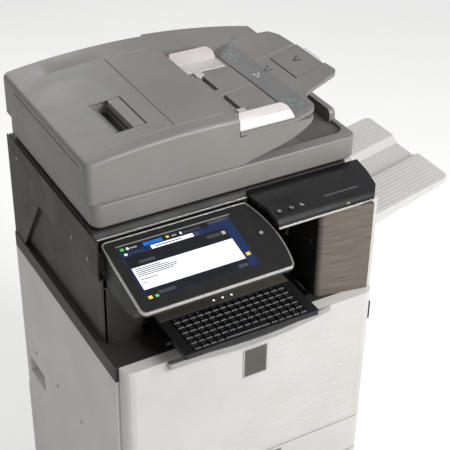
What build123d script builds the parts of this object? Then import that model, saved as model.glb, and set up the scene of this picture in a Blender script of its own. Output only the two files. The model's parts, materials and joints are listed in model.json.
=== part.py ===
from build123d import *
import os
from math import cos, radians, sin, tan

# Floor-standing colour copier on a paper stand. Millimetres, +Z up.
# The parts are drawn with x = 0 on the centre line, y = 0 at the front edge of the side covers
# and z = 0 on the deck, the ledge above the front door. At the end the whole copier is moved
# so that its origin is the middle of its footprint, on the floor.

# ---------------------------------------------------------------- driving dimensions
BODY_WIDTH = 612.0          # over the side covers
SIDE_DEPTH = 549.0          # side covers, front edge to rear edge
REAR_COVER_DEPTH = 11.0     # rear cover behind the side covers
HALF = BODY_WIDTH / 2
SKIN = 3.0                  # wall of a moulded cover
SHEET = 2.0                 # steel sheet of the frame
COVER_RETURN = 24.0         # side covers turn in this far to meet the frame
SEAM = 3.0                  # visible gap between two fronts
FIT_GAP = 0.5               # gap between moulded pieces that lie side by side
PLAY = 0.3                  # clearance between a moving piece and its neighbour
SHAFT_PLAY = 0.05           # radial clearance of a shaft in its bore

FRONT_PROUD = 30.0          # door and drawer fronts stand forward of the side covers
FRONT_BACK_GAP = 2.0        # gap behind the door and drawer fronts
FRONT_CORNER = 27.0         # vertical corner radius of the fronts
FRONT_SKIN = 3.5

RIM_HEIGHT = 38.0           # dark rim of the deck
DOOR_HEIGHT = 357.0
DRAWER_1_HEIGHT = 95.0
DRAWER_2_HEIGHT = 105.0
LOWER_PANEL_HEIGHT = 105.0
PLINTH_HEIGHT = 22.0
FOOT_HEIGHT = 30.0
DRAWER_TRAVEL = 400.0
DRAWER_TRAY_DEPTH = 500.0

SCANNER_BOTTOM = 172.0
SCANNER_TOP = 258.0
SCANNER_FRONT = 100.0
LID_BOTTOM = 262.0
LID_TOP = 318.0
LID_LEFT, LID_RIGHT = 10.0 - HALF, HALF + 5.0
LID_FRONT, LID_REAR = 95.0, SIDE_DEPTH - 2.0

FEEDER_LEFT, FEEDER_FRONT, FEEDER_REAR = 3.0 - HALF, 102.0, SIDE_DEPTH - 1.0
FEEDER_MOUTH = 28.0         # right end of the raised part of the feeder
COVER_SEAM_X = FEEDER_LEFT + 206.0   # right edge of the opening feeder cover
COVER_FRONT, COVER_REAR = 137.0, 473.0
COVER_SPLIT = 388.0         # height of the seam below the feeder's upper shell
PAPER_CENTRE = 274.0        # centre line of the sheets, in y
PAPER_WIDTH = 297.0

TRAY_TOP = 392.0            # document tray, level part
TRAY_THICK = 7.0
TRAY_SLOPE = 17.0           # degrees, outer part of the document tray
TRAY_END_X = HALF - 1.0
TRAY_BEND_X = TRAY_END_X - 145.0
# top line of the feeder, in x and z
ARCH_POINTS = ((FEEDER_LEFT - 27.0, 402.75), (FEEDER_LEFT + 203.0, 425.5), (TRAY_END_X, 388.0))

SHELF_LEDGE_Y = 91.5        # black shelf behind the tablet
SHELF_FRONT_Y = -4.0        # black shelf beside the tablet
SHELF_BOTTOM = 217.0
SHELF_STEP_X = 52.0
SHELF_RIGHT = HALF + 12.0

TABLET_WIDTH = 325.0
TABLET_DEPTH = 193.0
TABLET_THICK = 12.0
TABLET_TILT = 13.0
TABLET_LEFT = -289.0
TABLET_BULGE = 17.0         # the right end bows out this far

PILLAR_LEFT, PILLAR_RIGHT = HALF - 136.0, HALF - 18.0
PILLAR_FRONT_LEFT, PILLAR_FRONT_RIGHT = 8.0, -14.0

KEYBOARD_LEFT, KEYBOARD_RIGHT = -192.0, 118.0
KEYBOARD_FRONT = -82.0
KEYBOARD_DEPTH = 194.0
KEYBOARD_BOTTOM = 34.0
KEYBOARD_THICK = 12.0
KEYBOARD_TRAVEL = 130.0
KEY_TRAVEL = 2.0
KEY_HEIGHT = 4.0
KEY_PITCH = 17.2
KEY_ROWS = 6

EXIT_TRAY_FRONT, EXIT_TRAY_REAR = 23.0, 330.0
EXIT_TRAY_LENGTH = 208.0
EXIT_TRAY_ROOT_Z = 152.0
EXIT_TRAY_SLOPE = 12.6

# ---------------------------------------------------------------- values that follow from them
FRAME_HALF = HALF - COVER_RETURN
DRAWER_HALF = FRAME_HALF - SHEET - 11.0
REAR_FACE = SIDE_DEPTH + REAR_COVER_DEPTH
FRAME_REAR = SIDE_DEPTH
FRONT_HALF = HALF - 7.0
DOOR_BOTTOM = -DOOR_HEIGHT
DRAWER_1_TOP = DOOR_BOTTOM - SEAM
DRAWER_1_BOTTOM = DRAWER_1_TOP - DRAWER_1_HEIGHT
UNIT_BOTTOM = DRAWER_1_BOTTOM - 2 * SHEET
DRAWER_2_TOP = UNIT_BOTTOM - SEAM
DRAWER_2_BOTTOM = DRAWER_2_TOP - DRAWER_2_HEIGHT
PANEL_TOP = DRAWER_2_BOTTOM - SEAM
PANEL_BOTTOM = PANEL_TOP - LOWER_PANEL_HEIGHT
STAND_BOTTOM = PANEL_BOTTOM - PLINTH_HEIGHT
FLOOR = STAND_BOTTOM - FOOT_HEIGHT
DOOR_AXIS_Y = 9.0 - FRONT_PROUD
DOOR_AXIS_Z = DOOR_BOTTOM + 12.0
DOOR_PIN, DOOR_EYE = 2.5, 4.0
TRAY_END_Z = TRAY_TOP + (TRAY_END_X - TRAY_BEND_X) * tan(radians(TRAY_SLOPE))
KEYBOARD_TOP = KEYBOARD_BOTTOM + KEYBOARD_THICK
SLEEVE_FRONT = 70.0
SLEEVE_REAR = KEYBOARD_FRONT + KEYBOARD_DEPTH + KEYBOARD_TRAVEL + 8.0
RAIL_WIDTH = 11.0
RAIL_LENGTH = 160.0
RAIL_FRONT = KEYBOARD_FRONT + 57.0
COLUMN_RIGHT = KEYBOARD_LEFT - RAIL_WIDTH - 7.0
COLUMN_FRONT, COLUMN_REAR = 72.0, 170.0
COLUMN_LEFT = 13.0 - HALF
UPPER_COVER_X = 2.0 - HALF
OUTPUT_TOP = KEYBOARD_TOP + 28.0

PARTS = {}


def keep(name, shape):
    """Names a finished sub-part."""
    PARTS[name] = shape


# ---------------------------------------------------------------- small shape helpers
def block(x, y, z):
    """A box from three (low, high) pairs."""
    size = (x[1] - x[0], y[1] - y[0], z[1] - z[0])
    return Pos(x[0], y[0], z[0]) * Box(*size, align=(Align.MIN, Align.MIN, Align.MIN))


def rod_x(radius, x, y, z):
    return Pos((x[0] + x[1]) / 2, y, z) * Rot(0, 90, 0) * Cylinder(radius, x[1] - x[0])


def rod_y(radius, x, y, z):
    return Pos(x, (y[0] + y[1]) / 2, z) * Rot(90, 0, 0) * Cylinder(radius, y[1] - y[0])


def rod_z(radius, x, y, z):
    return Pos(x, y, (z[0] + z[1]) / 2) * Cylinder(radius, z[1] - z[0])


def side_prism(points, x):
    """An outline of (y, z) points, pushed along X."""
    return extrude(Plane.YZ.offset(x[0]) * make_face(Polyline(*points, close=True)), x[1] - x[0])


def front_prism(points, y):
    """An outline of (x, z) points, pushed along Y."""
    return extrude(Plane.XZ.offset(-y[0]) * make_face(Polyline(*points, close=True)), y[0] - y[1])


def plan_prism(points, z, radii=None):
    """An outline of (x, y) points, pushed along Z, with a radius for each corner if given."""
    if radii is None:
        wire = Polyline(*points, close=True)
    else:
        wire = FilletPolyline(*points, radius=radii, close=True)
    return extrude(Plane.XY.offset(z[0]) * make_face(wire), z[1] - z[0])


def rounded_plan(x, y, z, radius):
    """A block with its four upright edges rounded."""
    corners = [(x[0], y[0]), (x[1], y[0]), (x[1], y[1]), (x[0], y[1])]
    return plan_prism(corners, z, radius)


def upright_edges(shape):
    return shape.edges().filter_by(Axis.Z)


# ---------------------------------------------------------------- frame, stand and covers
def make_base_frame():
    """Open-fronted steel box that carries the print unit and the first drawer."""
    outer = block((-FRAME_HALF, FRAME_HALF), (5.0, FRAME_REAR), (UNIT_BOTTOM, -RIM_HEIGHT - SHEET))
    room_x = (-FRAME_HALF + SHEET, FRAME_HALF - SHEET)
    room_y = (5.0, FRAME_REAR - SHEET)
    process_room = block(room_x, room_y, (DOOR_BOTTOM + SHEET, -RIM_HEIGHT - 2 * SHEET))
    drawer_room = block(room_x, room_y, (UNIT_BOTTOM + SHEET, DOOR_BOTTOM))
    paper_window = block((FRAME_HALF - 2 * SHEET, FRAME_HALF + 1), (70.0, 480.0), (-330.0, -80.0))
    frame = outer - process_room - drawer_room - paper_window
    arm_x = FRAME_HALF - 2 * SHEET
    bore = rod_x(DOOR_PIN + SHAFT_PLAY, (-HALF, HALF), DOOR_AXIS_Y, DOOR_AXIS_Z)
    for side in (-1, 1):
        near, far = sorted((side * arm_x, side * (arm_x + SHEET)))
        arm = block((near, far), (DOOR_AXIS_Y, 8.0), (DOOR_AXIS_Z - 4.0, DOOR_AXIS_Z + 4.0))
        eye = rod_x(DOOR_EYE, (near, far), DOOR_AXIS_Y, DOOR_AXIS_Z)
        frame += arm + eye + drawer_rail(side, (DRAWER_1_BOTTOM, DRAWER_1_TOP))
    return frame - bore


def drawer_rail(side, z):
    """Ledge inside the side wall that a drawer's runner slides on."""
    x = sorted((side * (DRAWER_HALF + 1), side * (FRAME_HALF - SHEET + 1)))
    top = runner_bottom(z) - PLAY
    return block(x, (12.0, DRAWER_TRAY_DEPTH + 20), (top - 4, top))


def front_shell(z, skin=FRONT_SKIN):
    """Hollow front with two rounded upright corners, open at the back."""
    corners = [(-FRONT_HALF, -FRONT_BACK_GAP), (-FRONT_HALF, -FRONT_PROUD),
               (FRONT_HALF, -FRONT_PROUD), (FRONT_HALF, -FRONT_BACK_GAP)]
    outer = plan_prism(corners, z)
    front_edges = upright_edges(outer).group_by(Axis.Y)[0]
    outer = fillet(front_edges, FRONT_CORNER)
    inner = plan_prism([(-FRONT_HALF + skin, -FRONT_BACK_GAP), (-FRONT_HALF + skin, skin - FRONT_PROUD),
                        (FRONT_HALF - skin, skin - FRONT_PROUD), (FRONT_HALF - skin, -FRONT_BACK_GAP)],
                       (z[0] + skin, z[1] - skin))
    inner = fillet(upright_edges(inner).group_by(Axis.Y)[0], FRONT_CORNER - skin)
    return outer - inner


def make_stand():
    """Steel-sheet stand: drawer room above, fixed lower panel and plinth below."""
    top, low = UNIT_BOTTOM, STAND_BOTTOM
    outer = block((-HALF, HALF), (0.0, REAR_FACE - 4.0), (low, top))
    wall = SHEET
    for side in (-1, 1):
        near, far = sorted((side * (FRAME_HALF), side * (HALF - wall)))
        outer -= block((near, far), (wall, REAR_FACE - 4.0 - wall), (low + wall, top - SHEET))
    half = FRAME_HALF - SHEET
    drawer_room = block((-half, half), (-1.0, FRAME_REAR - SHEET), (PANEL_TOP, top - SHEET))
    store_room = block((-half, half), (wall, FRAME_REAR - SHEET), (low + wall, PANEL_TOP - SHEET))
    stand = outer - drawer_room - store_room
    for side in (-1, 1):
        stand += drawer_rail(side, (DRAWER_2_BOTTOM, DRAWER_2_TOP))
    panel = front_shell((PANEL_BOTTOM, PANEL_TOP))
    panel += block((-FRONT_HALF + 30, FRONT_HALF - 30), (-FRONT_BACK_GAP - 8, 0.0), (PANEL_BOTTOM + 8, PANEL_TOP - 12))
    plinth = block((-FRONT_HALF + 14, FRONT_HALF - 14), (-14.0, 0.0), (low, PANEL_BOTTOM))
    return stand + panel + plinth


def make_feet():
    """Four levelling feet: a threaded stud and a round pad."""
    feet = []
    for x in (-HALF + 36, HALF - 36):
        for y in (36.0, SIDE_DEPTH - 36):
            stud = rod_z(6.0, x, y, (FLOOR + 6, STAND_BOTTOM))
            nut = rod_z(11.0, x, y, (STAND_BOTTOM - 7, STAND_BOTTOM))
            pad = Pos(x, y, FLOOR + 6) * Cone(24, 15, 12)
            feet.append(stud + nut + pad)
    return Compound(feet)


def cover_tray(x, y, z, open_side):
    """Moulded cover: a plate with a turned-in edge, open towards the frame."""
    outer = block(x, y, z)
    low, high = (x[0] + SKIN, x[1] + 1) if open_side > 0 else (x[0] - 1, x[1] - SKIN)
    return outer - block((low, high), (y[0] + SKIN, y[1] - SKIN), (z[0] + SKIN, z[1] - SKIN))


def make_left_cover_lower():
    """White lower side cover with a carrying-handle pocket near the rear."""
    cover = cover_tray((-HALF, -FRAME_HALF), (0.0, SIDE_DEPTH), (UNIT_BOTTOM, -RIM_HEIGHT), 1)
    pocket_y, pocket_z, pocket_depth = (431.0, 523.0), (-400.0, -352.0), 18.0
    shell_x = (-HALF, -HALF + pocket_depth + 2)
    shell = block(shell_x, (pocket_y[0] - 2, pocket_y[1] + 2), (pocket_z[0] - 2, pocket_z[1] + 2))
    hollow = block((-HALF - 1, -HALF + pocket_depth), pocket_y, pocket_z)
    return cover + shell - hollow


def make_left_cover_upper():
    """Dark upper side cover: rear post and scanner band stand proud of a sunk panel and the front column."""
    proud_x, sunk_x, wall = UPPER_COVER_X, COLUMN_LEFT, 4.0
    lip_z, slant_top, slant_foot, band_y = 165.0, SIDE_DEPTH - 171.0, SIDE_DEPTH - 60.0, 68.0
    face = side_prism([(SIDE_DEPTH, 0), (SIDE_DEPTH, SCANNER_TOP - 1), (band_y, SCANNER_TOP - 1), (band_y, lip_z),
                       (slant_top, lip_z), (slant_foot, 0)], (proud_x, proud_x + wall))
    lip = block((proud_x, sunk_x + wall), (band_y, slant_top + wall), (lip_z, lip_z + wall))
    slant = side_prism([(slant_foot, 0), (slant_top, lip_z), (slant_top + wall, lip_z + wall),
                        (slant_foot + 2 * wall, 0)], (proud_x, sunk_x + wall))
    sunk = side_prism([(slant_foot, 0), (slant_top, lip_z), (COLUMN_REAR - 1, lip_z),
                       (COLUMN_REAR - 1, 0)], (sunk_x, sunk_x + wall))
    foot = block((proud_x, sunk_x + wall), (slant_foot, SIDE_DEPTH), (0.0, wall))
    return face + lip + slant + sunk + foot + front_column(wall)


def front_column(wall):
    """Column under the scanner's front left corner, hollow, with room above for the tablet's arm."""
    column = block((COLUMN_LEFT, COLUMN_RIGHT), (COLUMN_FRONT, COLUMN_REAR), (0.0, SCANNER_BOTTOM - FIT_GAP))
    corner = upright_edges(column).group_by(Axis.X)[0].sort_by(Axis.Y)[0]
    column = fillet(corner, 18.0)
    arm_room = block((COLUMN_LEFT + wall, COLUMN_RIGHT + 1), (COLUMN_FRONT - 1, 100.0), (140.0, SCANNER_BOTTOM))
    hollow = block((COLUMN_LEFT + wall, COLUMN_RIGHT - wall), (COLUMN_FRONT + wall, COLUMN_REAR - wall), (-1.0, 136.0))
    return column - arm_room - hollow


DOOR_OPEN_Y, DOOR_OPEN_Z = (38.0, 502.0), (-382.0, -58.0)
SIDE_AXIS_X, SIDE_AXIS_Y = HALF - 8.0, 490.0
LATCH_Y, LATCH_Z = (3.0, 21.0), (-107.0, -61.0)


def make_right_cover():
    """White right side cover with the side-door opening, the exit slot and the front strip."""
    lower = cover_tray((FRAME_HALF, HALF), (0.0, SIDE_DEPTH), (UNIT_BOTTOM, -RIM_HEIGHT), -1)
    upper = cover_tray((PILLAR_RIGHT, HALF), (0.0, SIDE_DEPTH), (-RIM_HEIGHT, SHELF_BOTTOM), -1)
    back = cover_tray((PILLAR_RIGHT, HALF), (SCANNER_FRONT + 2, SIDE_DEPTH), (SHELF_BOTTOM - SKIN, SCANNER_TOP), -1)
    ring_x, ring = (HALF - 16, HALF), 4.0
    frame = block(ring_x, (DOOR_OPEN_Y[0] - ring, DOOR_OPEN_Y[1] + ring), (DOOR_OPEN_Z[0] - ring, DOOR_OPEN_Z[1] + ring))
    opening = block((ring_x[0] - 30, HALF + 1), DOOR_OPEN_Y, DOOR_OPEN_Z)
    cover = lower + upper + back + frame - opening
    cover -= rod_z(3.0 + SHAFT_PLAY, SIDE_AXIS_X, SIDE_AXIS_Y, (DOOR_OPEN_Z[0] - 3.5, DOOR_OPEN_Z[1] + 3.5))
    exit_slot = block((HALF - SKIN - 1, HALF + 1), (EXIT_TRAY_FRONT + 12, EXIT_TRAY_REAR - 12),
                      (EXIT_TRAY_ROOT_Z + 6, EXIT_TRAY_ROOT_Z + 20))
    latch_slot = block((HALF - SKIN - 1, HALF + 1), (LATCH_Y[0] + 2, LATCH_Y[1] - 3),
                       (LATCH_Z[0] + 8, LATCH_Z[1] - 8))
    seat = block((HALF - 14, HALF - SKIN), (LATCH_Y[0] + 2, LATCH_Y[1] - 3), (LATCH_Z[0] + 4, LATCH_Z[0] + 8))
    seat += block((HALF - 14, HALF - SKIN), (LATCH_Y[0] + 2, LATCH_Y[1] - 3), (LATCH_Z[1] - 8, LATCH_Z[1] - 4))
    pivot = rod_z(2.5 + SHAFT_PLAY, HALF - 9, LATCH_Y[0] + 8, (LATCH_Z[0], LATCH_Z[1]))
    return cover - exit_slot - latch_slot + seat - pivot


def make_rear_cover():
    """Rear cover with rows of cooling slots."""
    y = (FRAME_REAR, REAR_FACE)
    cover = block((-FRONT_HALF + 4, FRONT_HALF - 4), y, (UNIT_BOTTOM, SHELF_BOTTOM + 19))
    cover -= block((-FRONT_HALF + 4 + SKIN, FRONT_HALF - 4 - SKIN), (y[0] - 1, y[1] - SKIN),
                   (UNIT_BOTTOM + SKIN, SHELF_BOTTOM + 19 - SKIN))
    slot_width, slot_height, pitch = 70.0, 4.0, 10.0
    for column in (-210.0, -120.0, 120.0):
        for row in range(9):
            z = -190.0 + row * pitch
            cover -= block((column, column + slot_width), (y[1] - SKIN - 1, y[1] + 1), (z, z + slot_height))
    hole = block(INLET_X, (y[1] - SKIN - 1, y[1] + 1), INLET_Z)
    return cover - hole


INLET_X, INLET_Z = (-250.0, -218.0), (-432.0, -408.0)


def make_power_inlet():
    """Mains inlet socket with three blades and a rocker switch beside it."""
    flange = block((INLET_X[0] - 6, INLET_X[1] + 40), (REAR_FACE, REAR_FACE + 2), (INLET_Z[0] - 5, INLET_Z[1] + 5))
    body = block((INLET_X[0] + 0.4, INLET_X[1] - 0.4), (REAR_FACE - SKIN - 2, REAR_FACE + 2),
                 (INLET_Z[0] + 0.4, INLET_Z[1] - 0.4))
    well = block((INLET_X[0] + 3, INLET_X[1] - 3), (REAR_FACE - 4, REAR_FACE + 3), (INLET_Z[0] + 3, INLET_Z[1] - 3))
    inlet = flange + body - well
    middle_x, middle_z = sum(INLET_X) / 2, sum(INLET_Z) / 2
    for dx, dz in ((-7, -2), (0, 3), (7, -2)):
        inlet += block((middle_x + dx - 1, middle_x + dx + 1), (REAR_FACE - SKIN - 2, REAR_FACE + 1),
                       (middle_z + dz - 2.5, middle_z + dz + 2.5))
    rocker = side_prism([(REAR_FACE + 2, INLET_Z[0]), (REAR_FACE + 7, INLET_Z[0]), (REAR_FACE + 4, INLET_Z[1]),
                         (REAR_FACE + 2, INLET_Z[1])], (INLET_X[1] + 10, INLET_X[1] + 26))
    return inlet + rocker


def make_screws():
    """Pan-head cover screws with a cross recess."""
    heads = []
    upper_x, lower_x = UPPER_COVER_X, -HALF
    places = [(upper_x, 490.0, 226.0), (upper_x, 190.0, 198.0), (upper_x, 112.0, 194.0)]
    places += [(lower_x, y, -310.0) for y in (203.0, 340.0, 474.0)]
    for x, y, z in places:
        head = rod_x(4.0, (x - 1.8, x), y, z)
        slot = block((x - 2.8, x - 1.0), (y - 2.6, y + 2.6), (z - 0.5, z + 0.5))
        slot += block((x - 2.8, x - 1.0), (y - 0.5, y + 0.5), (z - 2.6, z + 2.6))
        heads.append(head - slot)
    return Compound(heads)


# ---------------------------------------------------------------- deck, output cavity and pillar
def make_deck():
    """Deck moulding: dark rim, top skin and a smooth swell beside the keyboard."""
    wall, right = 4.0, HALF - COVER_RETURN + 6.0
    deck = block((-HALF, right), (0.0, FRAME_REAR), (-RIM_HEIGHT, 0.0))
    deck -= block((-HALF + wall, right - wall), (wall, FRAME_REAR - wall), (-RIM_HEIGHT - 1, -wall))
    swell = Pos(PILLAR_LEFT - 24, 52.0, 0.0) * Sphere(30)
    swell = scale(Pos(PILLAR_LEFT - 24, 52.0, 0.0).inverse() * swell, by=(0.62, 1.0, 0.8))
    swell = Pos(PILLAR_LEFT - 24, 52.0, -wall) * swell
    swell &= block((0.0, HALF), (0.0, 120.0), (-wall, 60.0))
    return deck + swell


def make_output_tray():
    """Tray that catches the printed sheets, standing on its own skirt behind the keyboard."""
    x, y = (COLUMN_LEFT + 6, PILLAR_LEFT - 1), (COLUMN_REAR + 2, FRAME_REAR)
    wall = 4.0
    tray = block(x, y, (0.0, OUTPUT_TOP))
    tray -= block((x[0] + wall, x[1] - wall), (y[0] - 1, y[1] - wall), (-1.0, OUTPUT_TOP - wall))
    rib_pitch = 36.0
    ribs = int((x[1] - x[0]) // rib_pitch)
    for n in range(1, ribs):
        rib_x = x[0] + n * rib_pitch
        tray += block((rib_x, rib_x + 2.5), (y[0] + 20, y[1] - 40), (OUTPUT_TOP, OUTPUT_TOP + 2))
    return tray


EXIT_ROLLER_Z = OUTPUT_TOP + 34.0
EXIT_ROLLER_X = PILLAR_LEFT - 5.0


def make_pillar():
    """Right pillar and inner wall of the output cavity, with the sheet exit slot."""
    outline = [(PILLAR_LEFT, PILLAR_FRONT_LEFT), (PILLAR_RIGHT - FIT_GAP, PILLAR_FRONT_RIGHT),
               (PILLAR_RIGHT - FIT_GAP, FRAME_REAR), (PILLAR_LEFT, FRAME_REAR)]
    outer = plan_prism(outline, (0.0, SHELF_BOTTOM))
    corner = upright_edges(outer).group_by(Axis.X)[0].sort_by(Axis.Y)[0]
    outer = fillet(corner, 14.0)
    upper_step = block((0.0, HALF), (SCANNER_FRONT - 1, REAR_FACE), (SCANNER_BOTTOM - FIT_GAP, SHELF_BOTTOM + 1))
    inner = plan_prism([(PILLAR_LEFT + SKIN, PILLAR_FRONT_LEFT + SKIN), (PILLAR_RIGHT - SKIN, PILLAR_FRONT_RIGHT + SKIN + 1),
                        (PILLAR_RIGHT - SKIN, FRAME_REAR + 1), (PILLAR_LEFT + SKIN, FRAME_REAR + 1)],
                       (SKIN, SCANNER_BOTTOM - SKIN))
    head = plan_prism([(PILLAR_LEFT + SKIN, PILLAR_FRONT_LEFT + SKIN), (PILLAR_RIGHT - SKIN, PILLAR_FRONT_RIGHT + SKIN + 1),
                       (PILLAR_RIGHT - SKIN, SCANNER_FRONT - 4), (PILLAR_LEFT + SKIN, SCANNER_FRONT - 4)],
                      (SCANNER_BOTTOM - 2 * SKIN, SHELF_BOTTOM - SKIN))
    exit_slot = block((PILLAR_LEFT - 1, PILLAR_LEFT + SKIN + 1),
                      (PAPER_CENTRE - PAPER_WIDTH / 2 - 12, PAPER_CENTRE + PAPER_WIDTH / 2 + 12),
                      (EXIT_ROLLER_Z - 12, EXIT_ROLLER_Z + 14))
    latch_hole = block((PILLAR_LEFT - 1, PILLAR_LEFT + SKIN + 1), (34.0, 40.0), (118.0, 132.0))
    return outer - upper_step - inner - head - exit_slot - latch_hole


def paired_lugs(x, z, y_low, y_high, radius, bore):
    """Two bearing plates with a bore along Y."""
    lugs = block((x, x + 8), (y_low - 4, y_low), (z - radius, z + radius))
    lugs += block((x, x + 8), (y_high, y_high + 4), (z - radius, z + radius))
    return lugs - rod_y(bore, x + 3, (y_low - 5, y_high + 5), z)


def make_exit_roller():
    """Delivery roller: a shaft with four rubber sleeves."""
    y_low, y_high = EXIT_ROLLER_SPAN
    roller = rod_y(3.0, EXIT_ROLLER_X, (y_low - 4, y_high + 4), EXIT_ROLLER_Z)
    for n in range(4):
        start = y_low + 24 + n * 72
        roller += rod_y(8.0, EXIT_ROLLER_X, (start, start + 34), EXIT_ROLLER_Z)
    return roller


EXIT_ROLLER_SPAN = (PAPER_CENTRE - PAPER_WIDTH / 2 + 4, PAPER_CENTRE + PAPER_WIDTH / 2 - 4)


def make_keyboard_housing():
    """Flat sleeve on legs that takes the keyboard, right of the front column."""
    wall = 4.0
    low_x, high_x = COLUMN_RIGHT + FIT_GAP, KEYBOARD_RIGHT + RAIL_WIDTH + 7
    sleeve_z = (KEYBOARD_BOTTOM - 8, KEYBOARD_TOP + KEY_HEIGHT + 8)
    sleeve = block((low_x, high_x + wall), (SLEEVE_FRONT, SLEEVE_REAR + wall), sleeve_z)
    mouth = block((COLUMN_RIGHT + wall, high_x), (SLEEVE_FRONT - 1, SLEEVE_REAR), (sleeve_z[0] + wall, sleeve_z[1] - wall))
    legs = block((high_x, high_x + wall), (SLEEVE_FRONT + 20, SLEEVE_REAR), (0.0, sleeve_z[0]))
    legs += block((low_x, COLUMN_RIGHT + wall), (SLEEVE_FRONT + 20, SLEEVE_REAR), (0.0, sleeve_z[0]))
    return sleeve + legs - mouth


def make_right_exit_tray():
    """Ribbed catch tray on the right side, rising outwards, with a shallow trough along its middle."""
    plate, edge = 4.0, 3.0
    rise = EXIT_TRAY_LENGTH * tan(radians(EXIT_TRAY_SLOPE))
    trough_y, trough_depth, shoulder = (134.0, 229.0), 13.0, 16.0
    top = [(EXIT_TRAY_FRONT, 0.0), (trough_y[0], 0.0), (trough_y[0] + shoulder, -trough_depth),
           (trough_y[1] - shoulder, -trough_depth), (trough_y[1], 0.0), (EXIT_TRAY_REAR, 0.0)]
    outline = [(y, EXIT_TRAY_ROOT_Z + z) for y, z in top] + [(y, EXIT_TRAY_ROOT_Z + z - plate) for y, z in reversed(top)]
    face = Plane.YZ.offset(HALF) * make_face(Polyline(*outline, close=True))
    slope = Vector(EXIT_TRAY_LENGTH, 0, rise)
    tray = extrude(face, slope.length, dir=slope)
    root, tip, end = EXIT_TRAY_ROOT_Z, EXIT_TRAY_ROOT_Z + rise, HALF + EXIT_TRAY_LENGTH
    skirt = [(HALF, root), (end, tip), (end, tip - 11), (HALF, root - 27)]
    tray += front_prism(skirt, (EXIT_TRAY_FRONT, EXIT_TRAY_FRONT + edge))
    tray += front_prism(skirt, (EXIT_TRAY_REAR - edge, EXIT_TRAY_REAR))
    for y in (trough_y[0] - 30, trough_y[1] + 30):
        tray += front_prism([(HALF, root - plate), (end - 20, tip - 2 * plate), (HALF, root - 27)], (y, y + edge))
    plan = plan_prism([(HALF, EXIT_TRAY_FRONT), (end, EXIT_TRAY_FRONT), (end, EXIT_TRAY_REAR), (HALF, EXIT_TRAY_REAR)],
                      (root - 40, tip + 10))
    plan = fillet(upright_edges(plan).group_by(Axis.X)[-1], 16.0)
    return tray & plan


# ---------------------------------------------------------------- print unit behind the front door
TONER_PITCH = 100.0
TONER_X = [-220.0 + n * TONER_PITCH for n in range(4)]
PRINT_Y = (60.0, 440.0)
BELT_Z, BELT_RADIUS = -190.0, 16.0
DRUM_RADIUS = 15.0
DRUM_Z = BELT_Z - BELT_RADIUS - 2.0 - DRUM_RADIUS - FIT_GAP
HEAT_X, FUSER_Z, HEAT_RADIUS, PRESS_RADIUS = 218.0, -110.0, 20.0, 17.5


def make_toner_cartridges():
    """Four toner bottles side by side, each with a grip at its front end."""
    bottles = []
    for x in TONER_X:
        bottle = rounded_plan((x - 42, x + 42), (PRINT_Y[0], PRINT_Y[1]), (-140.0, -60.0), 10.0)
        grip = block((x - 6, x + 6), (PRINT_Y[0] - 16, PRINT_Y[0]), (-120.0, -84.0))
        bottles.append(bottle + grip)
    return Compound(bottles)


def make_transfer_belt():
    """Transfer belt round its two rollers, with the cross frame between them."""
    left, right = TONER_X[0] - 34, TONER_X[-1] + 34
    y = (PRINT_Y[0], PRINT_Y[1] - 40)
    solid = rod_y(BELT_RADIUS, left, y, BELT_Z) + rod_y(BELT_RADIUS, right, y, BELT_Z)
    solid += block((left, right), y, (BELT_Z - BELT_RADIUS, BELT_Z + BELT_RADIUS))
    shafts = rod_y(4.0, left, (y[0] - 10, y[1] + 10), BELT_Z) + rod_y(4.0, right, (y[0] - 10, y[1] + 10), BELT_Z)
    return solid + shafts


def make_drum_units():
    """Four photoconductor drums with their cleaning housings below."""
    units = []
    for x in TONER_X:
        drum = rod_y(DRUM_RADIUS, x, (PRINT_Y[0], PRINT_Y[1] - 40), DRUM_Z)
        housing = block((x - 34, x + 34), (PRINT_Y[0], PRINT_Y[1] - 40), (DRUM_Z - 34, DRUM_Z - 8))
        units.append(drum + housing)
    return Compound(units)


def make_laser_unit():
    """Optics box below the drums, open underneath, on the frame's middle shelf."""
    x, z = (TONER_X[0] - 40, TONER_X[-1] + 60), (DOOR_BOTTOM + SHEET, DRUM_Z - 34 - FIT_GAP)
    outer = rounded_plan(x, PRINT_Y, z, 12.0)
    return outer - rounded_plan((x[0] + 4, x[1] - 4), (PRINT_Y[0] + 4, PRINT_Y[1] - 4), (z[0] - 1, z[1] - 4), 8.0)


def make_fuser_case():
    """Case round the two fuser rollers, open above and below for the sheet."""
    x = (HEAT_X - HEAT_RADIUS - 8, HEAT_X + HEAT_RADIUS + 2 * PRESS_RADIUS + 5)
    y, z = (PRINT_Y[0], PRINT_Y[1]), (FUSER_Z - 34, FUSER_Z + 34)
    case = block(x, y, z) - block((x[0] + 3, x[1] - 3), (y[0] + 5, y[1] - 5), (z[0] - 1, z[1] + 1))
    press_x = HEAT_X + HEAT_RADIUS + PRESS_RADIUS + 0.1
    for roller_x in (HEAT_X, press_x):
        case -= rod_y(6.0 + SHAFT_PLAY, roller_x, (y[0] - 1, y[1] + 1), FUSER_Z)
    feet = block(x, (y[0], y[0] + 5), (DOOR_BOTTOM + SHEET, z[0])) + block(x, (y[1] - 5, y[1]), (DOOR_BOTTOM + SHEET, z[0]))
    return case + feet


def fuser_roller(x, radius):
    y = (PRINT_Y[0] + 5.5, PRINT_Y[1] - 5.5)
    return rod_y(radius, x, y, FUSER_Z) + rod_y(6.0, x, (PRINT_Y[0] - 8, PRINT_Y[1] + 8), FUSER_Z)


# ---------------------------------------------------------------- scanner
GLASS_X, GLASS_Y = (44.0 - HALF, HALF - 44.0), (124.0, SIDE_DEPTH - 49.0)
LAMP_X, MIRROR_X = (66.0 - HALF, 106.0 - HALF), (16.0 - HALF, 54.0 - HALF)
CARRIAGE_Y, CARRIAGE_Z = (112.0, SIDE_DEPTH - 13.0), (222.0, 244.0)
LAMP_TRAVEL = BODY_WIDTH - 182.0


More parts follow.
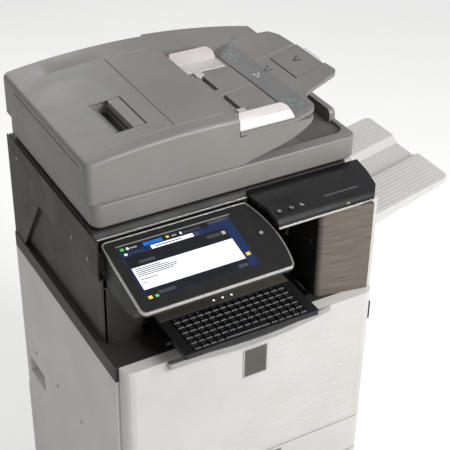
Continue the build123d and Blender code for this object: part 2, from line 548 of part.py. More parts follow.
def make_scanner_housing():
    """Flat scanner box with the glass window in its top."""
    x, y, z = (7.0 - HALF, PILLAR_RIGHT - FIT_GAP), (SCANNER_FRONT, SIDE_DEPTH - 3), (SCANNER_BOTTOM, SCANNER_TOP)
    wall = 4.0
    box = block(x, y, z)
    box -= block((x[0] + wall, x[1] - wall), (y[0] + wall, y[1] - wall), (z[0] + wall, z[1] - 2 * wall))
    box -= block((GLASS_X[0] + 6, GLASS_X[1] - 6), (GLASS_Y[0] + 6, GLASS_Y[1] - 6), (z[1] - 3 * wall, z[1] + 1))
    box -= block(GLASS_X, GLASS_Y, (z[1] - wall, z[1] + 1))
    for rail_y in ((y[0] + wall, CARRIAGE_Y[0] + 4), (CARRIAGE_Y[1] - 4, y[1] - wall)):
        box += block((x[0] + wall, x[1] - wall), rail_y, (CARRIAGE_Z[0] - PLAY - 5, CARRIAGE_Z[0] - PLAY))
    return box


def make_platen_mat():
    """White foam-backed sheet under the lid that presses the original to the glass."""
    return block((GLASS_X[0] + 4, GLASS_X[1] - 4), (GLASS_Y[0] + 4, GLASS_Y[1] - 4), (SCANNER_TOP + PLAY, LID_BOTTOM))


def make_platen_glass():
    return block((GLASS_X[0] + 0.2, GLASS_X[1] - 0.2), (GLASS_Y[0] + 0.2, GLASS_Y[1] - 0.2),
                 (SCANNER_TOP - 4.0, SCANNER_TOP))


def carriage(x):
    """Cross bar with a sloping mirror face."""
    low, high = CARRIAGE_Z
    bar = front_prism([(x[0], low), (x[1], low), (x[1], high - 12), (x[1] - 12, high), (x[0], high)], CARRIAGE_Y)
    return bar - front_prism([(x[0] + 8, low - 1), (x[1] - 10, low - 1), (x[1] - 18, high - 8), (x[0] + 8, high - 8)],
                             (CARRIAGE_Y[0] + 12, CARRIAGE_Y[1] - 12))


def make_lens_unit():
    """Lens barrel and sensor board on a small plate."""
    base_z = SCANNER_BOTTOM + 4.0
    plate = block((150.0, 270.0), (PAPER_CENTRE - 50, PAPER_CENTRE + 50), (base_z, base_z + 3))
    saddle = block((168.0, 200.0), (PAPER_CENTRE - 20, PAPER_CENTRE + 20), (base_z + 3, base_z + 14))
    barrel = rod_x(14.0, (160.0, 208.0), PAPER_CENTRE, base_z + 20)
    board = block((250.0, 253.0), (PAPER_CENTRE - 46, PAPER_CENTRE + 46), (base_z + 3, base_z + 38))
    return plate + saddle + barrel + board


HINGE_X = (-200.0, 200.0)
LID_AXIS_Y, LID_AXIS_Z = SIDE_DEPTH + 8.0, 269.0
HINGE_PIN = 4.0
CHEEK_RADIUS = 8.0


def make_lid_hinges():
    """Two lid hinges: a foot on the scanner, two cheeks and a pin."""
    hinges = []
    for x in HINGE_X:
        foot = block((x - 20, x + 20), (SIDE_DEPTH - 3, SIDE_DEPTH), (SHELF_BOTTOM + 20, SCANNER_TOP - 2))
        cheek = block((x - 18, x + 18), (SIDE_DEPTH - 1, LID_AXIS_Y + CHEEK_RADIUS), (SHELF_BOTTOM + 24, LID_AXIS_Z))
        cheek += rod_x(CHEEK_RADIUS, (x - 18, x + 18), LID_AXIS_Y, LID_AXIS_Z)
        cheek -= block((x - 14, x + 14), (SIDE_DEPTH - 2, REAR_FACE + 20), (SHELF_BOTTOM + 23, LID_AXIS_Z + 20))
        pin = rod_x(HINGE_PIN, (x - 20, x + 20), LID_AXIS_Y, LID_AXIS_Z)
        hinges.append(foot + cheek + pin)
    return Compound(hinges)


BASIN_X, BASIN_Y = (36.0, LID_RIGHT - 12.0), (122.0, 470.0)
BASIN_FLOOR = 287.0


def make_lid():
    """Lid over the glass; its right part is the basin where the scanned sheets land."""
    bevel = 8.0
    outer = rounded_plan((LID_LEFT, LID_RIGHT), (LID_FRONT, LID_REAR), (LID_BOTTOM, LID_TOP), 22.0)
    outer = chamfer(outer.faces().sort_by(Axis.Z)[0].edges(), bevel)
    upper_edge = outer.faces().sort_by(Axis.Z)[-1].edges()
    outer = fillet(upper_edge, 3.0)
    hollow = rounded_plan((LID_LEFT + 14, BASIN_X[0] - 6), (LID_FRONT + 14, LID_REAR - 14),
                          (LID_BOTTOM + 6, LID_TOP - 4), 10.0)
    low_hollow = rounded_plan((BASIN_X[0] - 10, LID_RIGHT - 14), (LID_FRONT + 14, LID_REAR - 14),
                              (LID_BOTTOM + 6, BASIN_FLOOR - 4), 10.0)
    basin = rounded_plan(BASIN_X, BASIN_Y, (BASIN_FLOOR, LID_TOP + 5), 26.0)
    ramp = front_prism([(BASIN_X[1] - 80, BASIN_FLOOR), (BASIN_X[1], LID_TOP - 6), (BASIN_X[1], BASIN_FLOOR)],
                       BASIN_Y)
    ramp &= basin
    lid = outer - hollow - low_hollow - basin + ramp
    wall = block((BASIN_X[1] - 4, LID_RIGHT), (178.0, 446.0), (LID_TOP - 6, LID_TOP + 23))
    wall = fillet(wall.edges().filter_by(Axis.X).group_by(Axis.Z)[-1], 14.0)
    wall = fillet(wall.faces().sort_by(Axis.X)[-1].edges().filter_by(lambda edge: edge.center().Z > LID_TOP), 5.0)
    lid += wall
    for x in HINGE_X:
        lug = block((x - 13.5, x + 13.5), (LID_REAR - 12, LID_AXIS_Y), (LID_AXIS_Z - 6.5, LID_AXIS_Z + 6.5))
        lug += rod_x(6.5, (x - 13.5, x + 13.5), LID_AXIS_Y, LID_AXIS_Z)
        lid += lug - rod_x(HINGE_PIN + SHAFT_PLAY, (x - 14, x + 14), LID_AXIS_Y, LID_AXIS_Z)
    pin_space = [rod_x(HINGE_PIN + SHAFT_PLAY, (x - 21, x + 21), LID_AXIS_Y, LID_AXIS_Z) for x in HINGE_X]
    return lid - pin_space


# ---------------------------------------------------------------- document feeder
def arch_face(x_low, x_high, z_low, sink=0.0):
    """Face in x and z: the feeder's arched top line, closed down to z_low."""
    left, middle, right = [(x, z - sink) for x, z in ARCH_POINTS]
    arc = ThreePointArc(left, middle, right)
    lead = Line((FEEDER_LEFT - 20, left[1] - 12), left)
    tail = Line(right, (TRAY_END_X + 40, right[1] - 6))
    closing = Polyline((TRAY_END_X + 40, right[1] - 6), (TRAY_END_X + 40, LID_BOTTOM), (FEEDER_LEFT - 20, LID_BOTTOM),
                       (FEEDER_LEFT - 20, left[1] - 12))
    face = make_face(lead + arc + tail + closing)
    window = make_face(Polyline((x_low, z_low), (x_high, z_low), (x_high, 500), (x_low, 500), close=True))
    return face & window


def arch_prism(x, y, z_low, sink=0.0):
    """The space under the arched top line between two x and two y values."""
    return extrude(Plane.XZ.offset(-y[0]) * arch_face(x[0], x[1], z_low, sink), y[0] - y[1])


WING_FRONT_END = TRAY_END_X - 97.0
REAR_WING_Y = (458.0, FEEDER_REAR)
LATCH_X, LATCH_COVER_Y = (FEEDER_LEFT + 128.0, FEEDER_LEFT + 160.0), (176.0, 300.0)
FEED_ROLLER_X, FEED_ROLLER_Z, FEED_ROLLER_RADIUS = -20.0, 372.0, 18.0
FEEDER_CORNER, FEEDER_SHOULDER = 16.0, 11.0


def feeder_outline():
    """Outer form of the feeder's housing, with rounded corners and shoulders."""
    form = arch_prism((FEEDER_LEFT, FEEDER_MOUTH), (FEEDER_FRONT, FEEDER_REAR), LID_TOP)
    form = fillet(upright_edges(form).group_by(Axis.X)[0], FEEDER_CORNER)
    crown = form.faces().sort_by(Axis.Z)[-1]
    shoulders = [edge for edge in crown.edges() if edge.center().X < FEEDER_MOUTH - 1]
    return fillet(shoulders, FEEDER_SHOULDER)


def make_feeder_body():
    """Document feeder body: left housing, front wing under the tray and rear wing behind it."""
    wall = 4.0
    body = feeder_outline()
    cover_room = block((FEEDER_LEFT - 1, COVER_SEAM_X), (COVER_FRONT, COVER_REAR), (COVER_SPLIT, 450.0))
    cavity = arch_prism((FEEDER_LEFT + 8, FEEDER_MOUTH - 6), (COVER_FRONT + wall, COVER_REAR - wall), LID_TOP + 8, 5.0)
    mouth_y = (PAPER_CENTRE - PAPER_WIDTH / 2 - 3, PAPER_CENTRE + PAPER_WIDTH / 2 + 3)
    mouth = block((FEEDER_MOUTH - 8, FEEDER_MOUTH + 1), mouth_y, (TRAY_TOP + 1, TRAY_TOP + 20))
    exit_mouth = block((FEEDER_MOUTH - 8, FEEDER_MOUTH + 1), mouth_y, (LID_TOP + 12, LID_TOP + 32))
    body = body - cover_room - cavity - mouth - exit_mouth
    wing_top = TRAY_TOP - TRAY_THICK - PLAY
    heel_x, heel_room = TRAY_AXIS_X + 8, 2.5
    front_wing = Polyline((FEEDER_MOUTH - 1, wing_top - heel_room), (heel_x, wing_top - heel_room),
                          (heel_x + heel_room, wing_top), (WING_FRONT_END, wing_top))
    sweep = Spline((WING_FRONT_END, wing_top), (WING_FRONT_END - 50, 351.0), (WING_FRONT_END - 102, 335.0), (40.0, LID_TOP))
    close = Polyline((40.0, LID_TOP), (FEEDER_MOUTH - 1, LID_TOP), (FEEDER_MOUTH - 1, wing_top - heel_room))
    wing_face = Plane.XZ.offset(-FEEDER_FRONT) * make_face(front_wing + sweep + close)
    body += extrude(wing_face, -14.0) & tray_plan()
    rear_wing = arch_prism((FEEDER_MOUTH - 1, TRAY_END_X), REAR_WING_Y, LID_TOP)
    rear_wing -= arch_prism((FEEDER_MOUTH + 4, TRAY_END_X - 6), (REAR_WING_Y[0] + 5, REAR_WING_Y[1] - 5), LID_TOP - 1, 6.0)
    body += rear_wing
    for y in TRAY_LUG_Y:
        lug = block((FEEDER_MOUTH - 2, TRAY_AXIS_X), (y - TRAY_LUG_HALF, y + TRAY_LUG_HALF),
                    (TRAY_AXIS_Z - 3.2, TRAY_AXIS_Z + 3.2))
        lug += rod_y(3.2, TRAY_AXIS_X, (y - TRAY_LUG_HALF, y + TRAY_LUG_HALF), TRAY_AXIS_Z)
        body += lug - rod_y(TRAY_PIN + SHAFT_PLAY, TRAY_AXIS_X, (y - 10, y + 10), TRAY_AXIS_Z)
    bore = rod_y(5.0 + SHAFT_PLAY, FEED_ROLLER_X, (COVER_FRONT - 10, COVER_REAR + 10), FEED_ROLLER_Z)
    return body - bore - cover_hinge_bores()


COVER_HEEL, COVER_PIN, COVER_LIFT = 3.6, 2.0, 0.6
COVER_AXIS_X, COVER_AXIS_Z = FEEDER_LEFT + COVER_HEEL, COVER_SPLIT + COVER_LIFT + COVER_HEEL


def cover_hinge_bores():
    """Bores for the two pins at the left end of the feeder cover."""
    radius = COVER_PIN + SHAFT_PLAY
    front = rod_y(radius, COVER_AXIS_X, (COVER_FRONT - 6, COVER_FRONT + 1), COVER_AXIS_Z)
    rear = rod_y(radius, COVER_AXIS_X, (COVER_REAR - 1, COVER_REAR + 6), COVER_AXIS_Z)
    return front + rear


def make_feeder_cover():
    """Opening cover of the feeder, hinged at its left end, with the latch well."""
    y = (COVER_FRONT + PLAY, COVER_REAR - PLAY)
    x = (FEEDER_LEFT, COVER_SEAM_X - 1.6)
    skin = 3.5
    cover = feeder_outline() & block((x[0] - 1, x[1]), y, (COVER_SPLIT + COVER_LIFT, 450.0))
    cover -= arch_prism((x[0] + skin + FEEDER_SHOULDER / 2, x[1] - skin), (y[0] + skin, y[1] - skin), COVER_SPLIT - 1, skin)
    cover -= arch_prism((x[0] + skin, x[1] - skin), (y[0] + skin, y[1] - skin), COVER_SPLIT - 1, skin + FEEDER_SHOULDER / 2)
    heel = rod_y(COVER_HEEL, COVER_AXIS_X, (COVER_FRONT - 10, COVER_REAR + 10), COVER_AXIS_Z)
    below = block((FEEDER_LEFT - 1, COVER_AXIS_X), y, (COVER_SPLIT, COVER_AXIS_Z))
    cover -= below - heel
    well_x, well_y = (LATCH_X[0] - 38, LATCH_X[1] + 3), (LATCH_COVER_Y[0] - 3, LATCH_COVER_Y[1] + 3)
    well_floor = 396.0
    well = block((well_x[0] - 3, well_x[1] + 3), (well_y[0] - 3, well_y[1] + 3), (well_floor - 3, 415.0))
    scoop = block((LATCH_X[0] - 8, well_x[1]), well_y, (well_floor, 450.0))
    scoop += front_prism([(LATCH_X[0] - 8, well_floor), (well_x[0], 422.0), (well_x[0], 440.0), (LATCH_X[0] - 8, 440.0)],
                         (well_y[0], well_y[1]))
    cover = cover + well - scoop
    pins = rod_y(COVER_PIN, COVER_AXIS_X, (COVER_FRONT - 5, y[0] + 4), COVER_AXIS_Z)
    pins += rod_y(COVER_PIN, COVER_AXIS_X, (y[1] - 4, COVER_REAR + 5), COVER_AXIS_Z)
    barrel = rod_y(COVER_HEEL, COVER_AXIS_X, (y[0], y[1]), COVER_AXIS_Z)
    latch_bore = rod_y(LATCH_PIN + SHAFT_PLAY, LATCH_AXIS_X, (well_y[0] - 2, well_y[1] + 2), LATCH_AXIS_Z)
    return cover + barrel + pins - latch_bore


LATCH_AXIS_X, LATCH_AXIS_Z, LATCH_PIN = LATCH_X[1] - 3.0, 412.0, 2.0


def make_cover_latch():
    """Pull plate over the right half of the well; fingers go under its left edge."""
    y = LATCH_COVER_Y
    plate = arch_prism((LATCH_X[0] + 6, LATCH_X[1]), y, 417.0, 0.3)
    lip = block((LATCH_X[0] + 6, LATCH_X[0] + 9), y, (408.0, 419.0))
    heel = block((LATCH_AXIS_X - 3, LATCH_AXIS_X + 3), y, (LATCH_AXIS_Z, 418.0)) + rod_y(3.0, LATCH_AXIS_X, y, LATCH_AXIS_Z)
    pins = rod_y(LATCH_PIN, LATCH_AXIS_X, (y[0] - 4.5, y[1] + 4.5), LATCH_AXIS_Z)
    return plate + lip + heel + pins


def make_feed_roller():
    """Feed roller: a steel shaft with two wide rubber tyres."""
    roller = rod_y(5.0, FEED_ROLLER_X, (COVER_FRONT - 8, COVER_REAR + 8), FEED_ROLLER_Z)
    for start in (PAPER_CENTRE - 60, PAPER_CENTRE + 20):
        roller += rod_y(FEED_ROLLER_RADIUS, FEED_ROLLER_X, (start, start + 40), FEED_ROLLER_Z)
    return roller


TRAY_AXIS_X, TRAY_AXIS_Z, TRAY_PIN = FEEDER_MOUTH + 6.0, TRAY_TOP - TRAY_THICK / 2, 2.0
TRAY_LUG_Y = (PAPER_CENTRE - 141.0, PAPER_CENTRE + 141.0)
TRAY_LUG_HALF = 3.0
GUIDE_END_FRONT, GUIDE_END_REAR = 158.0, 148.0
TRAY_FRONT_Y, TRAY_REAR_Y = FEEDER_FRONT, REAR_WING_Y[0] - 1.0
SLOT_X = (72.0, 83.0)
SLOT_SPANS = ((PAPER_CENTRE - 92, PAPER_CENTRE - 14), (PAPER_CENTRE + 14, PAPER_CENTRE + 92))
EXT_Y, EXT_X = (PAPER_CENTRE - 55, PAPER_CENTRE + 55), (TRAY_END_X - 74.0, TRAY_END_X - 5.0)


def tray_slope_z(x):
    return TRAY_TOP + max(0.0, x - TRAY_BEND_X) * tan(radians(TRAY_SLOPE))


def tray_plan(x0=0.0):
    """Column over the document tray's outline seen from above, from its left edge x0."""
    end = TRAY_END_X
    points = [(x0, TRAY_FRONT_Y), (WING_FRONT_END, TRAY_FRONT_Y), (end - 92, 160.0), (end - 1, 174.0),
              (end - 12, 392.0), (end - 22, 424.0), (end - 75, TRAY_REAR_Y), (x0, TRAY_REAR_Y)]
    return plan_prism(points, (LID_TOP, TRAY_END_Z + 40), [0.5, 18.0, 22.0, 13.0, 12.0, 14.0, 5.0, 0.5])


def make_feed_tray():
    """Document tray: level inner part with guide slots, outer part sloping up to the right."""
    x0, bend, end = FEEDER_MOUTH + 2.0, TRAY_BEND_X, TRAY_END_X
    low = TRAY_THICK
    outline = [(x0, TRAY_TOP - low), (bend + 2, TRAY_TOP - low), (end, TRAY_END_Z - low - 3), (end, TRAY_END_Z),
               (bend, TRAY_TOP), (x0, TRAY_TOP)]
    slab = front_prism(outline, (TRAY_FRONT_Y, TRAY_REAR_Y))
    tray = slab & tray_plan(x0)
    for low_y, high_y in SLOT_SPANS:
        tray -= block(SLOT_X, (low_y, high_y), (TRAY_TOP - 20, TRAY_TOP + 5))
    pocket = [(EXT_X[0], tray_slope_z(EXT_X[0]) - 5.0), (end + 20, tray_slope_z(end + 20) - 5.0),
              (end + 20, 500.0), (EXT_X[0], 500.0)]
    tray -= front_prism(pocket, EXT_Y)
    for y in TRAY_LUG_Y:
        notch = TRAY_LUG_HALF + FIT_GAP
        tray -= block((x0 - 1, TRAY_AXIS_X + 5), (y - notch, y + notch), (TRAY_TOP - 20, TRAY_TOP + 5))
        tray += rod_y(TRAY_PIN, TRAY_AXIS_X, (y - notch - 1, y + notch + 1), TRAY_AXIS_Z)
    return tray


def make_guide(side):
    """Sheet guide: upright wall, foot on the tray and a tongue through the slot."""
    wall_y = PAPER_CENTRE + side * PAPER_WIDTH / 2
    x_low, x_high = FEEDER_MOUTH + 3.0, GUIDE_END_FRONT if side < 0 else GUIDE_END_REAR
    top, foot, plate = TRAY_TOP + 34.0, TRAY_TOP + PLAY, 2.5
    outline = [(wall_y, foot + plate), (wall_y, top), (wall_y + side * 4, top), (wall_y + side * 9, foot + 16),
               (wall_y + side * 20, foot + plate), (wall_y + side * 20, foot), (wall_y - side * 46, foot),
               (wall_y - side * 46, foot + plate)]
    guide = side_prism(outline, (x_low, x_high))
    sides = Polyline((x_high - 32, top + 1), (x_low + 4, top + 1), (x_low, foot + plate), (x_low, foot - 1),
                     (x_high, foot - 1), (x_high, foot + plate))
    sweep = ThreePointArc((x_high, foot + plate), (x_high - 8, foot + 22), (x_high - 32, top + 1))
    guide &= extrude(Plane.XZ * make_face(sides + sweep), -SIDE_DEPTH)
    slot_low, slot_high = SLOT_SPANS[0] if side < 0 else SLOT_SPANS[1]
    tongue_y = (slot_low + 2, slot_low + 8) if side < 0 else (slot_high - 8, slot_high - 2)
    tongue = block((SLOT_X[0] + PLAY, SLOT_X[1] - PLAY), tongue_y, (TRAY_TOP - TRAY_THICK - 4, foot + 1))
    bridge = block((SLOT_X[0] - 4, SLOT_X[1] + 4), sorted((tongue_y[0] if side > 0 else tongue_y[1], wall_y - side * 40)),
                   (foot, foot + 2.5))
    return guide + tongue + bridge


def make_tray_extension():
    """Pull-out plate in the outer pocket of the document tray."""
    thick = 3.2
    low = [(x, tray_slope_z(x) - 5.0 + PLAY) for x in (EXT_X[0] + 4, EXT_X[1])]
    high = [(x, z + thick) for x, z in reversed(low)]
    plate = front_prism(low + high, (EXT_Y[0] + 0.6, EXT_Y[1] - 0.6))
    return plate


# ---------------------------------------------------------------- control shelf, keys and tablet
def make_control_shelf():
    """Black shelf: a low ledge behind the tablet and a deep sloping face on its right."""
    top_back = 255.0
    bulge = [(SHELF_FRONT_Y, SHELF_BOTTOM), (SHELF_FRONT_Y - 2, SHELF_BOTTOM + 6), (SHELF_FRONT_Y - 1, 229.0),
             (2.0, 235.5), (SCANNER_FRONT - FIT_GAP, top_back), (SCANNER_FRONT - FIT_GAP, SHELF_BOTTOM)]
    right = side_prism(bulge, (SHELF_STEP_X - 30, SHELF_RIGHT))
    plan = plan_prism([(SHELF_STEP_X - 8, SCANNER_FRONT), (SHELF_STEP_X - 8, 78.0), (SHELF_STEP_X + 6, 40.0),
                       (SHELF_STEP_X + 8, SHELF_FRONT_Y - 3), (SHELF_RIGHT - 27, SHELF_FRONT_Y - 3),
                       (SHELF_RIGHT - 7, 18.0), (SHELF_RIGHT, 60.0), (SHELF_RIGHT, SCANNER_FRONT)],
                      (SHELF_BOTTOM - 5, top_back + 5))
    right &= plan
    left = side_prism([(SHELF_LEDGE_Y, SHELF_BOTTOM), (SHELF_LEDGE_Y, 244.0), (SHELF_LEDGE_Y + 2, 247.0),
                       (SCANNER_FRONT - FIT_GAP, top_back), (SCANNER_FRONT - FIT_GAP, SHELF_BOTTOM)],
                      (9.0 - HALF, SHELF_STEP_X - 7))
    shelf = right + left
    hollow = side_prism([(10.0, SHELF_BOTTOM - 1), (10.0, 232.0), (SCANNER_FRONT - 5, 248.0),
                         (SCANNER_FRONT - 5, SHELF_BOTTOM - 1)], (SHELF_STEP_X + 12, PILLAR_LEFT - 4))
    shelf -= hollow
    for x in PANEL_KEY_X:
        z = shelf_face_z(PANEL_KEY_Y)
        shelf -= rod_z(PANEL_KEY_RADIUS + PLAY, x, PANEL_KEY_Y, (z - 6.5, z + 10))
        shelf -= rod_z(2.0 + PLAY, x, PANEL_KEY_Y, (z - 9.0, z))
    return shelf


PANEL_KEY_X, PANEL_KEY_Y, PANEL_KEY_RADIUS, PANEL_KEY_TRAVEL = (76.0, 105.0), 21.0, 6.5, 1.2


def shelf_face_z(y):
    """Height of the shelf's sloping top at a depth y."""
    return 235.5 + (y - 2.0) * (255.0 - 235.5) / (SCANNER_FRONT - FIT_GAP - 2.0)


def make_panel_key(x):
    """Round key on the shelf, standing just proud of the sloping face."""
    z = shelf_face_z(PANEL_KEY_Y)
    cap = rod_z(PANEL_KEY_RADIUS, x, PANEL_KEY_Y, (z - 3.5, z + 2.4))
    stem = rod_z(2.0, x, PANEL_KEY_Y, (z - 6.3, z - 3.5))
    return fillet(cap.faces().sort_by(Axis.Z)[-1].edges(), 0.8) + stem


def tablet_place():
    """Places a piece drawn flat: origin at the middle of the tablet's top rear edge."""
    centre_x = TABLET_LEFT + TABLET_WIDTH / 2
    return Pos(centre_x, 88.0, 238.5) * Rot(TABLET_TILT, 0, 0)


def tablet_plan(margin, z):
    """Tablet outline drawn flat, its right end a shallow arc; margin insets it."""
    half, depth = TABLET_WIDTH / 2 - margin, TABLET_DEPTH - margin
    left = Polyline((half - 2, -margin), (-half, -margin), (-half, -depth), (half + 4, -depth))
    right = ThreePointArc((half + 4, -depth), (half + TABLET_BULGE, -TABLET_DEPTH * 0.45), (half - 2, -margin))
    solid = extrude(Plane.XY.offset(z[0]) * make_face(left + right), z[1] - z[0])
    return fillet(upright_edges(solid), 12.0 - margin * 0.5)


def make_tablet_case():
    """Tablet back with its silver rim, and the wedge arms that carry it on the pivot shaft."""
    rim = 3.0
    case = tablet_plan(0.0, (-TABLET_THICK, 0.0)) - tablet_plan(rim, (-rim, 1.0))
    key_well = Pos(HOME_KEY[0], HOME_KEY[1], -rim - 2.0) * Cylinder(HOME_KEY_RADIUS + 1, 4.2)
    case = tablet_place() * (case - key_well)
    arm_outline = [(62.0, 152.0), (-18.0, 150.0), (-60.0, 158.0), (-70.0, 190.5), (76.0, 224.2), (72.0, 190.0)]
    arms = side_prism(arm_outline, (-288.0, -262.0)) + side_prism(arm_outline, (2.0, 20.0))
    shaft = rod_x(5.0, (-288.0, 20.0), TABLET_SHAFT_Y, TABLET_SHAFT_Z)
    return case + arms + shaft


TABLET_SHAFT_Y, TABLET_SHAFT_Z = 66.0, 208.0
HOME_KEY, HOME_KEY_RADIUS, HOME_KEY_TRAVEL = (TABLET_WIDTH / 2 - 14.0, -90.0), 8.0, 1.0


def make_tablet_glass():
    """Black glass face in the rim, with the round opening for the home key."""
    rim = 3.0
    glass = tablet_plan(rim + 0.3, (-rim, -0.4))
    glass -= Pos(HOME_KEY[0], HOME_KEY[1], -rim / 2) * Cylinder(HOME_KEY_RADIUS + PLAY, rim + 2)
    return tablet_place() * glass


def make_home_key():
    key = Pos(HOME_KEY[0], HOME_KEY[1], -1.2) * Cylinder(HOME_KEY_RADIUS, 3.2)
    return tablet_place() * fillet(key.faces().sort_by(Axis.Z)[-1].edges(), 0.6)


def make_tablet_bracket():
    """Two fixed lugs on the scanner's front wall that carry the pivot shaft."""
    lugs = []
    for x in (-200.0, -60.0):
        lug = block((x - 7, x + 7), (TABLET_SHAFT_Y, SCANNER_FRONT), (TABLET_SHAFT_Z - 9, TABLET_SHAFT_Z + 4))
        lug += rod_x(9.0, (x - 7, x + 7), TABLET_SHAFT_Y, TABLET_SHAFT_Z)
        foot = block((x - 16, x + 16), (SCANNER_FRONT - 3, SCANNER_FRONT), (SCANNER_BOTTOM + 6, SHELF_BOTTOM - 1))
        bore = rod_x(5.0 + SHAFT_PLAY, (x - 8, x + 8), TABLET_SHAFT_Y, TABLET_SHAFT_Z)
        lugs.append(lug + foot - bore)
    return Compound(lugs)


# ---------------------------------------------------------------- keyboard
KEY_FIELD_X, KEY_FIELD_Y = (-168.0, 94.0), (-76.0, 31.0)


def make_keyboard_tray():
    """Pull-out keyboard body with a well under the keys and a flat strip behind them."""
    y = (KEYBOARD_FRONT, KEYBOARD_FRONT + KEYBOARD_DEPTH)
    tray = block((KEYBOARD_LEFT, KEYBOARD_RIGHT), y, (KEYBOARD_BOTTOM, KEYBOARD_TOP))
    front_corners = upright_edges(tray).group_by(Axis.Y)[0]
    tray = fillet(front_corners, 4.0)
    well = block((KEY_FIELD_X[0] - 1, KEY_FIELD_X[1] + 1), (KEY_FIELD_Y[0] - 1, KEY_FIELD_Y[1] + 1),
                 (KEYBOARD_TOP - 5.0, KEYBOARD_TOP + 1))
    return tray - well


def make_keyboard_keys():
    """The key caps on their common spring sheet."""
    sheet_z = KEYBOARD_TOP - 2.8
    field = block(KEY_FIELD_X, KEY_FIELD_Y, (sheet_z, sheet_z + 0.8))
    columns = int((KEY_FIELD_X[1] - KEY_FIELD_X[0]) // KEY_PITCH)
    pitch_x = (KEY_FIELD_X[1] - KEY_FIELD_X[0]) / columns
    pitch_y = (KEY_FIELD_Y[1] - KEY_FIELD_Y[0]) / KEY_ROWS
    gap = 1.6
    space_bar = (4, 9)
    for row in range(KEY_ROWS):
        y = KEY_FIELD_Y[0] + row * pitch_y
        for column in range(columns):
            if row == 0 and space_bar[0] < column <= space_bar[1]:
                continue
            width = pitch_x * (space_bar[1] - space_bar[0] + 1) if row == 0 and column == space_bar[0] else pitch_x
            x = KEY_FIELD_X[0] + column * pitch_x
            field += block((x + gap / 2, x + width - gap / 2), (y + gap / 2, y + pitch_y - gap / 2),
                           (sheet_z, KEYBOARD_TOP + KEY_HEIGHT - 1.0))
    return field


def make_keyboard_rails():
    """Middle members of the two telescopic slides beside the keyboard."""
    z = (KEYBOARD_BOTTOM + 1, KEYBOARD_BOTTOM + 9)
    y = (RAIL_FRONT, RAIL_FRONT + RAIL_LENGTH)
    left = block((KEYBOARD_LEFT - 1 - RAIL_WIDTH, KEYBOARD_LEFT - 1), y, z)
    right = block((KEYBOARD_RIGHT + 1, KEYBOARD_RIGHT + 1 + RAIL_WIDTH), y, z)
    tie_y = (y[1] - 10, y[1])
    tie = block((KEYBOARD_LEFT - 2, KEYBOARD_RIGHT + 2), tie_y, (KEYBOARD_BOTTOM - 3.0, KEYBOARD_BOTTOM - 1.0))
    legs = block((KEYBOARD_LEFT - 6, KEYBOARD_LEFT - 1), tie_y, (KEYBOARD_BOTTOM - 3.0, KEYBOARD_BOTTOM + 2))
    legs += block((KEYBOARD_RIGHT + 1, KEYBOARD_RIGHT + 6), tie_y, (KEYBOARD_BOTTOM - 3.0, KEYBOARD_BOTTOM + 2))
    return left + right + tie + legs


# ---------------------------------------------------------------- front door and drawers
def make_front_door():
    """Front door, hinged along its foot on two pins."""
    door = front_shell((DOOR_BOTTOM, -1.0))
    foot = 12.0
    door -= side_prism([(-FRONT_BACK_GAP - foot, DOOR_BOTTOM - 1), (-FRONT_BACK_GAP + 1, DOOR_BOTTOM - 1),
                        (-FRONT_BACK_GAP + 1, DOOR_BOTTOM + foot + 1)], (-HALF, HALF))
    toe = 3.0
    door -= side_prism([(-FRONT_PROUD - 1, DOOR_BOTTOM - 1), (-FRONT_PROUD + toe, DOOR_BOTTOM - 1),
                        (-FRONT_PROUD + toe, DOOR_BOTTOM), (-FRONT_PROUD, DOOR_BOTTOM + toe),
                        (-FRONT_PROUD - 1, DOOR_BOTTOM + toe)], (-HALF, HALF))
    arm_x = FRAME_HALF - 2 * SHEET
    for side in (-1, 1):
        near, far = sorted((side * (arm_x - 2), side * (arm_x + SHEET + 2)))
        door -= block((near, far), (-FRONT_PROUD + FRONT_SKIN + 1, 0.0), (DOOR_BOTTOM - 1, DOOR_AXIS_Z - 5))
        low, high = sorted((side * (arm_x - 3.5), side * (arm_x + SHEET + 3.5)))
        boss_in = block(sorted((side * (arm_x - 7), side * (arm_x - 3.5))),
                        (-FRONT_PROUD + FRONT_SKIN - 0.5, DOOR_AXIS_Y + 5), (DOOR_AXIS_Z - 9, DOOR_AXIS_Z + 5))
        boss_out = block(sorted((side * (arm_x + SHEET + 3.5), side * (arm_x + SHEET + 7))),
                         (-FRONT_PROUD + FRONT_SKIN - 0.5, DOOR_AXIS_Y + 5), (DOOR_AXIS_Z - 9, DOOR_AXIS_Z + 5))
        pin = rod_x(DOOR_PIN, (low - 1, high + 1), DOOR_AXIS_Y, DOOR_AXIS_Z)
        door += boss_in + boss_out + pin
    return door


HANDLE_X, HANDLE_DEPTH, HANDLE_Z = (-206.0, 184.0), 21.0, (-15.0, -1.0)


def make_door_handle():
    """Curved grip bar along the top of the door, with a finger gap behind it."""
    left, right = HANDLE_X
    back, front = -FRONT_PROUD, -FRONT_PROUD - HANDLE_DEPTH
    middle = (left + right) / 2
    outer = Line((right, back), (left, back)) + ThreePointArc((left, back), (middle, front), (right, back))
    bar = extrude(Plane.XY.offset(HANDLE_Z[0]) * make_face(outer), HANDLE_Z[1] - HANDLE_Z[0])
    ends = rounded_plan((left, left + 70), (front + 8, back), HANDLE_Z, 6.0)
    gap_left, gap_right = left + 52, right - 40
    inner = Line((gap_right, back), (gap_left, back)) + ThreePointArc((gap_left, back), (middle, front + 10), (gap_right, back))
    gap = extrude(Plane.XY.offset(HANDLE_Z[0] - 1) * make_face(inner), HANDLE_Z[1] - HANDLE_Z[0] + 2)
    return bar + ends - gap


